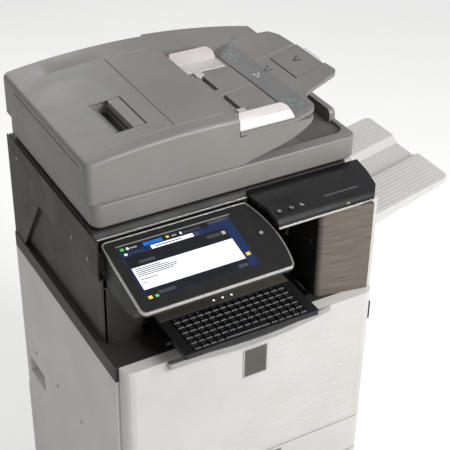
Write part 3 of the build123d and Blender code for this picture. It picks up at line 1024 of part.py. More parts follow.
def make_drawer_front(z):
    """Drawer front with a finger grip under its upper edge."""
    front = front_shell(z)
    grip_half, grip_depth, lip = 78.0, 18.0, 6.0
    grip_z = (z[1] - 34.0, z[1] - lip)
    back = block((-grip_half - 3, grip_half + 3), (-FRONT_PROUD + 1, -FRONT_PROUD + grip_depth + 3), (grip_z[0] - 3, z[1] - 1))
    hollow = block((-grip_half, grip_half), (-FRONT_PROUD - 1, -FRONT_PROUD + grip_depth), grip_z)
    rib_x = FRONT_HALF - 60
    ribs = block((-rib_x, -rib_x + 4), (-FRONT_PROUD + 2, -FRONT_BACK_GAP), (z[0] + 2, z[1] - 2))
    ribs += block((rib_x - 4, rib_x), (-FRONT_PROUD + 2, -FRONT_BACK_GAP), (z[0] + 2, z[1] - 2))
    return front + back + ribs - hollow


def runner_bottom(z):
    """Underside of a drawer's runners, from the (low, high) of its front."""
    return (z[0] + z[1] - 6) / 2 - 7


def make_drawer_tray(z):
    """Paper tray box, open above, with a runner on each side."""
    wall = 2.5
    y = (-FRONT_BACK_GAP, DRAWER_TRAY_DEPTH)
    tray_z = (z[0] + 10, z[1] - 16)
    tray = block((-DRAWER_HALF, DRAWER_HALF), y, tray_z)
    tray -= block((-DRAWER_HALF + wall, DRAWER_HALF - wall), (y[0] + wall, y[1] - wall), (tray_z[0] + wall, tray_z[1] + 1))
    runner = 8.0
    low = runner_bottom(z)
    for side in (-1, 1):
        tray += block(sorted((side * DRAWER_HALF, side * (DRAWER_HALF + runner))), (y[0] + 6, y[1]), (low, low + 14))
    return tray


# ---------------------------------------------------------------- right side
BYPASS_Y, BYPASS_Z = (96.0, 424.0), (-336.0, -150.0)
BYPASS_AXIS_X, BYPASS_HEEL = HALF + 5.3, 4.3


def make_side_door():
    """Side door over the sheet path, hinged at its rear edge, with lugs for the bypass tray."""
    y, z = (DOOR_OPEN_Y[0] + 1.5, DOOR_OPEN_Y[1] - 5.0), (DOOR_OPEN_Z[0] + 1.0, DOOR_OPEN_Z[1] - 1.0)
    door = block((HALF - 4, HALF), y, z)
    boss = rod_z(6.0, SIDE_AXIS_X, SIDE_AXIS_Y, z)
    pins = rod_z(3.0, SIDE_AXIS_X, SIDE_AXIS_Y, (z[0] - 3.5, z[1] + 3.5))
    rib = block((HALF - 12, HALF - 4), (60.0, 63.0), (z[0] + 10, z[1] - 10))
    rib += block((HALF - 12, HALF - 4), (460.0, 463.0), (z[0] + 10, z[1] - 10))
    door += boss + pins + rib
    for low, high in ((BYPASS_Y[0] - 6, BYPASS_Y[0] - 1), (BYPASS_Y[1] + 1, BYPASS_Y[1] + 6)):
        door += block((HALF - 1, BYPASS_AXIS_X + 6), (low, high), (BYPASS_Z[0] - 7, BYPASS_Z[0] + 7))
    return door - rod_y(2.5 + SHAFT_PLAY, BYPASS_AXIS_X, (BYPASS_Y[0] - 7, BYPASS_Y[1] + 7), BYPASS_Z[0])


def make_bypass_tray():
    """Bypass tray folded up against the side door, with its heel on two pins."""
    plate = block((HALF + 1.2, HALF + 6.5), BYPASS_Y, (BYPASS_Z[0], BYPASS_Z[1]))
    heel = rod_y(BYPASS_HEEL, BYPASS_AXIS_X, BYPASS_Y, BYPASS_Z[0])
    pins = rod_y(2.5, BYPASS_AXIS_X, (BYPASS_Y[0] - 5.5, BYPASS_Y[1] + 5.5), BYPASS_Z[0])
    grip = block((HALF + 4.5, HALF + 7.5), (PAPER_CENTRE - 60, PAPER_CENTRE + 40), (BYPASS_Z[1] - 26, BYPASS_Z[1] - 8))
    return plate + heel + pins - grip


def make_side_latch():
    """Release lever of the side door, near the front edge."""
    paddle = block((HALF + 1.8, HALF + 12), LATCH_Y, LATCH_Z)
    paddle = fillet(paddle.faces().sort_by(Axis.X)[-1].edges(), 4.0)
    shank = block((HALF - 11, HALF + 2), (LATCH_Y[0] + 5.5, LATCH_Y[0] + 10.5), (LATCH_Z[0] + 9, LATCH_Z[1] - 9))
    pivot = rod_z(2.5, HALF - 9, LATCH_Y[0] + 8, (LATCH_Z[0] + 4.5, LATCH_Z[1] - 4.5))
    return paddle + shank + pivot


# ---------------------------------------------------------------- assembly
def make_all():
    keep("base_frame", make_base_frame())
    keep("paper_stand", make_stand())
    keep("levelling_feet", make_feet())
    keep("rear_cover", make_rear_cover())
    keep("left_cover_lower", make_left_cover_lower())
    keep("left_cover_upper", make_left_cover_upper())
    keep("right_cover", make_right_cover())
    keep("power_inlet", make_power_inlet())
    keep("cover_screws", make_screws())
    keep("deck", make_deck())
    keep("output_tray", make_output_tray())
    keep("pillar_cover", make_pillar() + paired_lugs(EXIT_ROLLER_X - 3, EXIT_ROLLER_Z, *EXIT_ROLLER_SPAN, 16.0, 3.0 + SHAFT_PLAY))
    keep("exit_roller", make_exit_roller())
    keep("keyboard_housing", make_keyboard_housing())
    keep("right_exit_tray", make_right_exit_tray())
    keep("toner_cartridges", make_toner_cartridges())
    keep("transfer_belt", make_transfer_belt())
    keep("drum_units", make_drum_units())
    keep("laser_unit", make_laser_unit())
    keep("fuser_case", make_fuser_case())
    keep("heat_roller", fuser_roller(HEAT_X, HEAT_RADIUS))
    keep("pressure_roller", fuser_roller(HEAT_X + HEAT_RADIUS + PRESS_RADIUS + 0.1, PRESS_RADIUS))
    keep("scanner_housing", make_scanner_housing())
    keep("platen_glass", make_platen_glass())
    keep("lens_unit", make_lens_unit())
    keep("lamp_carriage", carriage(LAMP_X))
    keep("mirror_carriage", carriage(MIRROR_X))
    keep("lid_hinges", make_lid_hinges())
    keep("lid", make_lid())
    keep("platen_mat", make_platen_mat())
    keep("feeder_body", make_feeder_body())
    keep("feeder_cover", make_feeder_cover())
    keep("cover_latch", make_cover_latch())
    keep("feed_roller", make_feed_roller())
    keep("feed_tray", make_feed_tray())
    keep("guide_front", make_guide(-1))
    keep("guide_rear", make_guide(1))
    keep("tray_extension", make_tray_extension())
    keep("control_shelf", make_control_shelf())
    keep("save_key", make_panel_key(PANEL_KEY_X[0]))
    keep("power_key", make_panel_key(PANEL_KEY_X[1]))
    keep("tablet_bracket", make_tablet_bracket())
    keep("tablet_case", make_tablet_case())
    keep("tablet_glass", make_tablet_glass())
    keep("home_key", make_home_key())
    keep("keyboard_tray", make_keyboard_tray())
    keep("keyboard_keys", make_keyboard_keys())
    keep("keyboard_rails", make_keyboard_rails())
    keep("front_door", make_front_door())
    keep("door_handle", make_door_handle())
    for number, z in ((1, (DRAWER_1_BOTTOM, DRAWER_1_TOP)), (2, (DRAWER_2_BOTTOM, DRAWER_2_TOP))):
        keep(f"drawer_front_{number}", make_drawer_front(z))
        keep(f"drawer_tray_{number}", make_drawer_tray(z))
    keep("side_door", make_side_door())
    keep("bypass_tray", make_bypass_tray())
    keep("side_latch", make_side_latch())


make_all()
BOX = Compound([piece for shape in PARTS.values() for piece in shape.solids()]).bounding_box()
SHIFT = Vector(-(BOX.min.X + BOX.max.X) / 2, -(BOX.min.Y + BOX.max.Y) / 2, -BOX.min.Z)

os.makedirs("parts", exist_ok=True)
for node, shape in PARTS.items():
    export_step(Pos(SHIFT) * shape, f"parts/{node}.step")
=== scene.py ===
import bpy
import bmesh
import json
from math import cos, radians, sin, tan, tau
from mathutils import Matrix, Vector


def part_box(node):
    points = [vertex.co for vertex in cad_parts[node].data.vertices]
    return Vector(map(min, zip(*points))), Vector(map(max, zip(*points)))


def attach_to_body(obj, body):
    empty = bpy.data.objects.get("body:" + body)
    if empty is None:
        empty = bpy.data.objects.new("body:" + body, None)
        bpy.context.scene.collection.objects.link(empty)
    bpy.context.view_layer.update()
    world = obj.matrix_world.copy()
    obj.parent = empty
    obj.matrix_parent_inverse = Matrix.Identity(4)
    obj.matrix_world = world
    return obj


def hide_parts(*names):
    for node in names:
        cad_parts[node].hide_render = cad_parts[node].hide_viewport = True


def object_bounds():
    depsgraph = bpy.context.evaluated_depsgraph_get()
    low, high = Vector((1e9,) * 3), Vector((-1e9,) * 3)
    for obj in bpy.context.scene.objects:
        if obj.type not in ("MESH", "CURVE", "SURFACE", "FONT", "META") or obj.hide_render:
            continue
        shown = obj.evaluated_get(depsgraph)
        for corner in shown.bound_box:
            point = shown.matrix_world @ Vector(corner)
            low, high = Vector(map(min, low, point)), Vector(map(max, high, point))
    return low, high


# The finished look of an office copier: moulded covers, touch panel, keyboard, feeder and trays.
# Drawing distances are millimetres from one place on the copier: its middle, front edge and deck.
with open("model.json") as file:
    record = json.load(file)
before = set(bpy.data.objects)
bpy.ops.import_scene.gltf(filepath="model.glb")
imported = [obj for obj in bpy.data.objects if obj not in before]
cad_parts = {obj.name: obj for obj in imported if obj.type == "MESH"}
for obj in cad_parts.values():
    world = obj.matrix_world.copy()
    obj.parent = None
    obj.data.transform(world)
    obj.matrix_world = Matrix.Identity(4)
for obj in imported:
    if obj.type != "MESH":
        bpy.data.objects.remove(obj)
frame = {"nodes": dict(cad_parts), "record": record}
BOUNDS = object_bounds()
CAD = frame["nodes"]
MM = 0.001

RECORD = frame["record"]
SLOTS = {part["node"]: part["material_slot"] for part in RECORD["subparts"]}
BODY = {node: body for body, nodes in RECORD["behaviour"]["bodies"].items() for node in nodes}

COVER_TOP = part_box("left_cover_lower")[1].z
DECK_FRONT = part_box("deck")[0].y
STAND_LOW, STAND_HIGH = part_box("paper_stand")
RIM_HEIGHT = 38.0               # deck above the top of the left cover
HALF_WIDTH = (STAND_HIGH.x - STAND_LOW.x) / MM / 2
HOME = Vector(((STAND_LOW.x + STAND_HIGH.x) / 2, DECK_FRONT, COVER_TOP + RIM_HEIGHT * MM))
UP = (0, 0, 1)


def at(x, y, z):
    """A point in metres, from millimetres on the copier."""
    return HOME + Vector((x, y, z)) * MM


def span(node):
    """Lowest and highest corner of a part, in millimetres on the copier."""
    low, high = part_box(node)
    return (low - HOME) / MM, (high - HOME) / MM


TABLET_TILT = radians(13.0)
TABLET_HOME = (-126.5, 88.0, 238.5)         # middle of the touch panel's rear edge
TRAY_SLOPE = radians(17.0)
TRAY_BEND, TRAY_TOP = 160.0, 392.0          # where the document tray starts to rise, and its level part
SHELF_SLOPE = 0.2                           # rise of the shelf's face for each millimetre back
SHELF_EDGE_Y, SHELF_EDGE_Z = 2.0, 235.5


def on_tablet(u, v, w):
    """A point of the touch panel: u across from its middle, v back from its rear edge, w above its face."""
    x, y, z = TABLET_HOME
    along, out = cos(TABLET_TILT), sin(TABLET_TILT)
    return at(x + u, y + v * along - w * out, z + v * out + w * along)


def on_tray(x, y, w):
    """A point a height w above the document tray, which is level and then slopes up."""
    return at(x, y, TRAY_TOP + max(0.0, x - TRAY_BEND) * tan(TRAY_SLOPE) + w)


def on_shelf(x, y, w):
    """A point a height w above the control shelf's sloping face."""
    return at(x, y, SHELF_EDGE_Z + (y - SHELF_EDGE_Y) * SHELF_SLOPE + w)


# ---------------------------------------------------------------- materials
def linear(code):
    """An sRGB hex colour as linear red, green, blue and alpha."""
    parts = [int(code[i:i + 2], 16) / 255 for i in (1, 3, 5)]
    return [c / 12.92 if c <= 0.04045 else ((c + 0.055) / 1.055) ** 2.4 for c in parts] + [1.0]


def add(tree, kind, links=None, **settings):
    """Adds a node: settings are its properties, links its inputs, each a value or another node's socket."""
    made = tree.nodes.new(kind)
    for name, value in settings.items():
        setattr(made, name, value)
    for key, value in (links or {}).items():
        if isinstance(value, bpy.types.NodeSocket):
            tree.links.new(value, made.inputs[key])
        else:
            made.inputs[key].default_value = value
    return made


def begin(name, **shader):
    """A new material with its shader's fixed values set, and its Object coordinates."""
    material = bpy.data.materials.new(name)
    material.use_nodes = True
    tree = material.node_tree
    surface = tree.nodes["Principled BSDF"]
    for key, value in shader.items():
        surface.inputs[key.replace("_", " ")].default_value = value
    place = add(tree, "ShaderNodeTexCoord").outputs["Object"]
    return material, tree, surface, place


def join(tree, socket, surface, key):
    """Feeds one of the shader's inputs."""
    tree.links.new(socket, surface.inputs[key])


def pitch(size_mm):
    """Scale of a noise whose grains are this big."""
    return 1.0 / (size_mm * MM)


def blotches(tree, place, size_mm, detail=3.0, stretch=(1, 1, 1)):
    """Noise of a given grain size; a stretch below 1 draws the grains out along that axis."""
    moved = add(tree, "ShaderNodeMapping", {"Vector": place, "Scale": stretch}).outputs[0]
    noise = add(tree, "ShaderNodeTexNoise", {"Vector": moved, "Scale": pitch(size_mm), "Detail": detail})
    return noise.outputs["Fac"]


def between(tree, factor, low, high):
    """Spreads the middle of a 0 to 1 pattern between two values."""
    return add(tree, "ShaderNodeMapRange", {"Value": factor, "From Min": 0.3, "From Max": 0.7,
                                            "To Min": low, "To Max": high}).outputs[0]


def mix_sockets(tree, factor, dark, light):
    """A colour mix by socket number, since a Mix node has one set of sockets for each data type."""
    made = tree.nodes.new("ShaderNodeMix")
    made.data_type = "RGBA"
    tree.links.new(between(tree, factor, 0.0, 1.0), made.inputs[0])
    for index, value in ((6, dark), (7, light)):
        if isinstance(value, bpy.types.NodeSocket):
            tree.links.new(value, made.inputs[index])
        else:
            made.inputs[index].default_value = linear(value)
    return made.outputs[2]


def moulded_plastic(name, dark, light, roughness, grain_mm=1.1, grain_depth=0.05, **shader):
    """Spark-textured ABS. The mould's fine pits break up the gloss, and slow drifts in the tone stop
    large covers looking flat. The real grain is about 0.3 mm and is drawn coarser so that it shows."""
    material, tree, surface, place = begin(name, IOR=1.53, **shader)
    drift = blotches(tree, place, 140.0)
    join(tree, mix_sockets(tree, drift, dark, light), surface, "Base Color")
    grain = blotches(tree, place, grain_mm, detail=2.0)
    smear = blotches(tree, place, 55.0, detail=4.0)
    join(tree, between(tree, smear, roughness - 0.05, roughness + 0.06), surface, "Roughness")
    bump = add(tree, "ShaderNodeBump", {"Height": grain, "Strength": 0.35, "Distance": grain_depth * MM})
    join(tree, bump.outputs[0], surface, "Normal")
    return material


def cover_white():
    """Warm white ABS covers: soft sheen, very fine grain."""
    return moulded_plastic("white_abs_cover", "#CBC9C5", "#D3D1CD", 0.42)


def feeder_grey():
    """Warm grey ABS of the feeder and lid: a low even sheen along the rounded edges."""
    return moulded_plastic("grey_abs_feeder", "#827E7A", "#8A8682", 0.42, grain_depth=0.06)


def side_brown():
    """Dark brown ABS of the scanner's side and the deck: nearly matt, with a slight bloom."""
    return moulded_plastic("dark_brown_abs", "#2A2624", "#332F2C", 0.48)


def painted_shade_brown():
    """The same brown ABS inside the output cavity, painted darker as shade, since little light falls there.
    """
    return moulded_plastic("painted_shade_cavity_abs", "#1D1A18", "#25211F", 0.5)


def strip_brown():
    """Satin brown-grey lacquer of the strip behind the keys."""
    return moulded_plastic("strip_lacquer", "#4A463F", "#555149", 0.38, grain_depth=0.02)


def blackened_steel():
    """Black-oxidised steel slide: dark with a dull metallic sheen."""
    material, tree, surface, place = begin("blackened_steel_slide", Metallic=0.9)
    wear = blotches(tree, place, 8.0, stretch=(1, 0.1, 1))
    join(tree, mix_sockets(tree, wear, "#1C1C1D", "#2B2B2C"), surface, "Base Color")
    join(tree, between(tree, wear, 0.3, 0.45), surface, "Roughness")
    return material


def pillar_brown():
    """Brown ABS pillar with fine level lines cut in the mould, each one wandering a little."""
    material, tree, surface, place = begin("lined_brown_abs", IOR=1.53)
    streak = blotches(tree, place, 4.0, detail=5.0, stretch=(0.05, 0.05, 1.0))
    join(tree, mix_sockets(tree, streak, "#5A5149", "#796F65"), surface, "Base Color")
    join(tree, between(tree, streak, 0.34, 0.5), surface, "Roughness")
    bump = add(tree, "ShaderNodeBump", {"Height": streak, "Strength": 0.6, "Distance": 0.25 * MM})
    join(tree, bump.outputs[0], surface, "Normal")
    return material


def guide_pink():
    """Pale warm-grey acetal of the sheet guides, slightly waxy."""
    return moulded_plastic("pale_acetal_guide", "#C9C2C0", "#D3CDCB", 0.33, Subsurface_Weight=0.05)


def panel_black():
    """Piano-black polycarbonate of the control shelf: clear hard gloss over a deep black."""
    material, tree, surface, place = begin("gloss_black_panel", IOR=1.5, Coat_Weight=0.25, Coat_Roughness=0.1)
    haze = blotches(tree, place, 30.0, detail=5.0)
    join(tree, mix_sockets(tree, haze, "#0D0E11", "#121317"), surface, "Base Color")
    join(tree, between(tree, haze, 0.26, 0.36), surface, "Roughness")
    return material


def silver_trim():
    """Satin-silver lacquer on plastic trim: a soft metallic edge light."""
    material, tree, surface, place = begin("silver_trim_lacquer", Metallic=0.85)
    flake = blotches(tree, place, 1.4)
    join(tree, mix_sockets(tree, flake, "#B9B6B1", "#CFCCC7"), surface, "Base Color")
    join(tree, between(tree, flake, 0.26, 0.36), surface, "Roughness")
    return material


def handle_silver():
    """Grey-silver lacquered grip: darker than the trim, rubbed smoother along its middle."""
    material, tree, surface, place = begin("grey_silver_handle", Metallic=0.55)
    rub = blotches(tree, place, 22.0, detail=4.0, stretch=(0.3, 1, 1))
    join(tree, mix_sockets(tree, rub, "#A5A4A2", "#B4B3B1"), surface, "Base Color")
    join(tree, between(tree, rub, 0.28, 0.42), surface, "Roughness")
    return material


def key_black():
    """Black key caps: matt tops worn slightly glossy in the middle of the field."""
    material, tree, surface, place = begin("black_key_caps", IOR=1.5)
    wear = blotches(tree, place, 14.0, detail=3.0)
    join(tree, mix_sockets(tree, wear, "#18191B", "#222326"), surface, "Base Color")
    join(tree, between(tree, wear, 0.26, 0.44), surface, "Roughness")
    return material


def soot_black():
    """Matt black ABS inside recesses and of the keyboard body."""
    return moulded_plastic("matt_black_abs", "#121213", "#1A1A1B", 0.55)


def tablet_face():
    """Black glass of the touch panel: smooth, with faint finger haze."""
    material, tree, surface, place = begin("touch_panel_glass", IOR=1.45)
    haze = blotches(tree, place, 26.0, detail=5.0)
    join(tree, mix_sockets(tree, haze, "#19191B", "#1F1F21"), surface, "Base Color")
    join(tree, between(tree, haze, 0.36, 0.48), surface, "Roughness")
    return material


def lit(name, dark, light, strength):
    """A lit part of the screen: an even glow with a slight mottle of the backlight."""
    material, tree, surface, place = begin(name, Roughness=0.35, Emission_Strength=strength)
    glow = mix_sockets(tree, blotches(tree, place, 40.0, detail=1.0), dark, light)
    join(tree, glow, surface, "Emission Color")
    join(tree, glow, surface, "Base Color")
    return material


def zinc_steel():
    """Zinc-plated sheet: faint crystals and cloudy bluish grey."""
    material, tree, surface, place = begin("zinc_plated_sheet", Metallic=1.0)
    crystals = add(tree, "ShaderNodeTexVoronoi", {"Vector": place, "Scale": pitch(9.0)}).outputs["Distance"]
    join(tree, mix_sockets(tree, crystals, "#8E9193", "#A9ACAD"), surface, "Base Color")
    join(tree, between(tree, crystals, 0.30, 0.46), surface, "Roughness")
    return material


def bright_steel():
    """Drawn and plated steel of shafts, rails and screws: fine lines and a clean highlight."""
    material, tree, surface, place = begin("plated_steel", Metallic=1.0)
    lines = blotches(tree, place, 1.2, detail=4.0, stretch=(1, 0.05, 1))
    join(tree, mix_sockets(tree, lines, "#A6A7A8", "#C4C4C3"), surface, "Base Color")
    join(tree, between(tree, lines, 0.20, 0.34), surface, "Roughness")
    return material


def roller_rubber():
    """Dark grey EPDM rubber with ground fine lines round it."""
    return moulded_plastic("ground_epdm_rubber", "#1E1E1F", "#29292A", 0.75, grain_mm=0.8)


def belt_film():
    """Polyimide transfer belt: dark, smooth and slightly glossy."""
    return moulded_plastic("polyimide_belt", "#1B1512", "#251C17", 0.25, grain_depth=0.01)


def toner_shell():
    """Dark blow-moulded bottle shell with soft ripples."""
    return moulded_plastic("toner_bottle_shell", "#2C2C2F", "#3A3A3E", 0.45, grain_mm=6.0, grain_depth=0.2)


def foam_white():
    """White film over foam on the lid's underside: clean and very slightly quilted."""
    return moulded_plastic("white_platen_film", "#E6E6E2", "#EDEDEA", 0.5, grain_mm=5.0, grain_depth=0.1)


def scanner_glass():
    """Float glass with its green edge tint."""
    material, tree, surface, place = begin("float_glass", IOR=1.52, Transmission_Weight=0.9)
    bloom = blotches(tree, place, 60.0)
    join(tree, mix_sockets(tree, bloom, "#CFDAD6", "#DCE4E1"), surface, "Base Color")
    join(tree, between(tree, bloom, 0.02, 0.06), surface, "Roughness")
    return material


def floor_paint():
    """Plain pale studio floor; what the camera sees of it glows a little, which lights nothing else."""
    material, tree, surface, place = begin("pale_floor", Roughness=0.9)
    join(tree, mix_sockets(tree, blotches(tree, place, 900.0), "#F2F2F1", "#F6F6F5"), surface, "Base Color")
    surface.inputs["Emission Color"].default_value = linear("#FFFFFF")
    seen = add(tree, "ShaderNodeLightPath").outputs["Is Camera Ray"]
    join(tree, between(tree, seen, 0.0, 0.3), surface, "Emission Strength")
    return material


WHITE = cover_white()
GREY = feeder_grey()
BROWN = side_brown()
PILLAR = pillar_brown()
PINK = guide_pink()
GLOSS = panel_black()
TRIM = silver_trim()
HANDLE = handle_silver()
KEYS = key_black()
BLACK = soot_black()
FACE = tablet_face()
ZINC = zinc_steel()
STEEL = bright_steel()
RUBBER = roller_rubber()
# Painted shade: a darker copy of the side brown for the cavity wall.
CAVITY_SHADE = painted_shade_brown()
STRIP = strip_brown()
SLIDE = blackened_steel()
# The screen's lit parts: pale window, dark blue ground, bright tab, dim bars, lines and small marks.
GLOW_WHITE = lit("screen_window_white", "#DADBE0", "#E2E3E8", 0.75)
GLOW_NAVY = lit("screen_ground_navy", "#071430", "#0B1E44", 0.9)
GLOW_BLUE = lit("screen_tab_blue", "#0C4A94", "#1560B4", 0.9)
GLOW_SLATE = lit("screen_bar_slate", "#2E3138", "#3B3E46", 0.6)
GLOW_GREY = lit("screen_line_grey", "#8C8E94", "#9B9DA3", 0.6)
GLOW_GREEN = lit("screen_mark_green", "#3E9A3A", "#57B04C", 0.8)
GLOW_AMBER = lit("screen_mark_amber", "#C9A23A", "#D8B34A", 0.8)
GLOW_BLACK = lit("screen_header_black", "#04060B", "#070A12", 0.6)
GLOW_SIDE = lit("screen_side_blue", "#06183A", "#0A2250", 0.7)
LAMP = lit("status_lamp_white", "#E8E8E4", "#F4F4F0", 1.2)
# Printed marks, the tray's band and the badge: even in tone, hardly any grain.
MARK = moulded_plastic("printed_mark_grey", "#B9B8B5", "#C6C5C2", 0.5, grain_depth=0.01)
SCALE_MARK = moulded_plastic("printed_scale_teal", "#7D9A96", "#8AA5A1", 0.5, grain_depth=0.01)
BADGE = moulded_plastic("badge_grey_lacquer", "#57544F", "#625F5A", 0.35, Metallic=0.4)
TRAY_BAND = moulded_plastic("tray_band_grey", "#767677", "#7E7E7F", 0.45, grain_depth=0.03)
# Lines where two mouldings meet: the dark of a gap, and a painted highlight where light catches an edge.
SEAM = moulded_plastic("seam_shadow", "#141312", "#1B1918", 0.6, grain_depth=0.02)
# Painted highlight: a pale grey that stands for light caught along an edge.
PAINTED_EDGE_HIGHLIGHT = moulded_plastic("painted_edge_highlight", "#A8A49F", "#B3AFAA", 0.4, grain_depth=0.02)
FLOOR = floor_paint()


# ---------------------------------------------------------------- shapes
WELD = 1e-6                     # metres within which two corners are one
FLAT = radians(0.8)             # faces closer than this in direction are one
SHARP = 32.0                    # degrees above which an edge is rounded
SUNK = 0.3                      # how deep a rib's back lies in its part
CORNERS = ((-1, -1), (1, -1), (1, 1), (-1, 1))


def dress(obj, *materials):
    """Gives a piece its materials; clearing an empty list would forget which face has which."""
    if obj.data.materials:
        obj.data.materials.clear()
    for material in materials:
        obj.data.materials.append(material)
    return obj


def shade(mesh, angle=35.0):
    """Smooth shading, kept sharp where two faces meet at more than an angle."""
    mesh.shade_smooth()
    mesh.set_sharp_from_angle(angle=radians(angle))


def new_piece(name, bm, *materials, angle=35.0):
    """A bmesh in metres becomes a piece."""
    bmesh.ops.recalc_face_normals(bm, faces=bm.faces)
    mesh = bpy.data.meshes.new(name)
    bm.to_mesh(mesh)
    bm.free()
    shade(mesh, angle)
    obj = bpy.data.objects.new(name, mesh)
    bpy.context.scene.collection.objects.link(obj)
    return dress(obj, *materials)


def place_on(obj, body, slot, *replaced):
    """The piece rides on a body and may stand for CAD nodes, which it hides. The slot is not used."""
    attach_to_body(obj, body)
    if replaced:
        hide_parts(*replaced)
    return obj


def attach(piece, node):
    """The piece rides with a CAD node's body."""
    return place_on(piece, BODY[node], SLOTS[node])


def softened(node, width_mm, *materials, segments=2, angle=SHARP, paint=None):
    """A copy of a CAD part with its sharp edges rounded, as a moulded or pressed part has them."""
    bm = bmesh.new()
    bm.from_mesh(CAD[node].data)
    bmesh.ops.remove_doubles(bm, verts=bm.verts, dist=WELD)
    bmesh.ops.dissolve_limit(bm, angle_limit=FLAT, verts=bm.verts, edges=bm.edges)
    if paint:
        paint(bm)
    obj = new_piece(f"{node}_skin", bm, *materials, angle=angle)
    round_edges(obj, width_mm, segments, angle)
    return place_on(obj, BODY[node], SLOTS[node], node)


def round_edges(obj, width_mm, segments=2, angle=SHARP):
    """Rounds the edges sharper than an angle."""
    round_off = obj.modifiers.new("rounded_edges", "BEVEL")
    round_off.width = width_mm * MM
    round_off.segments = segments
    round_off.limit_method = "ANGLE"
    round_off.angle_limit = radians(angle)
    round_off.harden_normals = True
    round_off.use_clamp_overlap = True


def paint_tablet(bm):
    """Silver rim: the upper part of the slab's sides and the narrow frame round the glass."""
    seam, top = -6.5, 0.6       # the silver starts below the face and ends just above it
    up = on_tablet(0, 0, 1) - on_tablet(0, 0, 0)
    geometry = bm.verts[:] + bm.edges[:] + bm.faces[:]
    bmesh.ops.bisect_plane(bm, geom=geometry, plane_co=on_tablet(0, 0, seam), plane_no=up)
    for face in bm.faces:
        height = (face.calc_center_median() - on_tablet(0, 0, 0)).dot(up.normalized()) / MM
        face.material_index = 1 if seam < height < top else 0


def paint_pillar(bm):
    """The pillar's faces that do not look forward, among them its inner side at the wall of the output
    cavity, take brown painted darker as shade; its front is lined brown.
    """
    for face in bm.faces:
        face.material_index = 0 if face.normal.y < -0.25 else 1


def paint_shelf(bm):
    """The shelf's narrow left band is matt black; the rest is gloss."""
    for face in bm.faces:
        face.material_index = 1 if face.normal.y < -0.6 and face.normal.z > 0.4 else 0


def box_into(bm, x, y, z, index=0, place=at):
    """Adds a box to a bmesh; place turns its millimetres into metres on the copier or on a tilted part."""
    for vert in (made := bmesh.ops.create_cube(bm, size=1.0)["verts"]):
        vert.co = place(x[vert.co.x > 0], y[vert.co.y > 0], z[vert.co.z > 0])
    for face in {face for vert in made for face in vert.link_faces}:
        face.material_index = index


def boxes(name, node, materials, items, place=at, bevel_mm=0.0):
    """One piece of several boxes that rides with a node; each item is (x, y, z, material number)."""
    bm = bmesh.new()
    for x, y, z, index in items:
        box_into(bm, x, y, z, index, place)
    obj = new_piece(name, bm, *materials)
    if bevel_mm:
        round_edges(obj, bevel_mm)
    return attach(obj, node)


def skin(bm, rings, closed=False):
    """Joins rings of corners into a bar: sides between neighbours, then end faces unless it closes."""
    pairs = list(zip(rings, rings[1:])) + ([(rings[-1], rings[0])] if closed else [])
    for first, second in pairs:
        for k in range(len(first)):
            after = (k + 1) % len(first)
            bm.faces.new((first[k], first[after], second[after], second[k]))
    if not closed:
        bm.faces.new(rings[0][::-1])
        bm.faces.new(rings[-1])


def ring_into(bm, place, centre, radius, width, height, turn=tau):
    """Adds a flat ring, or part of one, a little above a surface."""
    u, v = centre
    low, high = height
    steps, closed = 28, turn >= tau
    inner = radius - width
    rings = []
    for k in range(steps if closed else steps + 1):
        angle = turn * k / steps + tau / 4
        rings.append([bm.verts.new(place(u + cos(angle) * r, v + sin(angle) * r, h))
                      for r, h in ((radius, low), (radius, high), (inner, high), (inner, low))])
    skin(bm, rings, closed)


def strip(bm, path, width, height):
    """Adds a level rectangular bar that follows a path; path is in metres, sizes in millimetres."""
    w, h = width * MM / 2, height * MM / 2
    rings = []
    for i, point in enumerate(path):
        ahead = (path[min(i + 1, len(path) - 1)] - path[max(i - 1, 0)]).normalized()
        side = ahead.cross(Vector(UP)).normalized()
        top = side.cross(ahead).normalized()
        rings.append([bm.verts.new(point + side * a * w + top * b * h) for a, b in CORNERS])
    skin(bm, rings)


def wedge(bm, points, drop_mm, out):
    """Adds a thin wedge rib along a path of (point, proud): flush above, proud along its lower edge."""
    out = Vector(out).normalized()
    down = Vector((0, 0, -drop_mm * MM))
    sunk = out * -SUNK * MM
    skin(bm, [[bm.verts.new(point + sunk), bm.verts.new(point + down + out * proud * MM),
               bm.verts.new(point + down + sunk)] for point, proud in points])


# ---------------------------------------------------------------- repeated pieces, by Geometry Nodes
ROW_SEED = 7


ROW_INPUTS = (("Piece", "NodeSocketObject"), ("Count", "NodeSocketInt"), ("First", "NodeSocketVector"),
              ("Step", "NodeSocketVector"), ("Lift", "NodeSocketFloat"), ("Finish", "NodeSocketMaterial"))


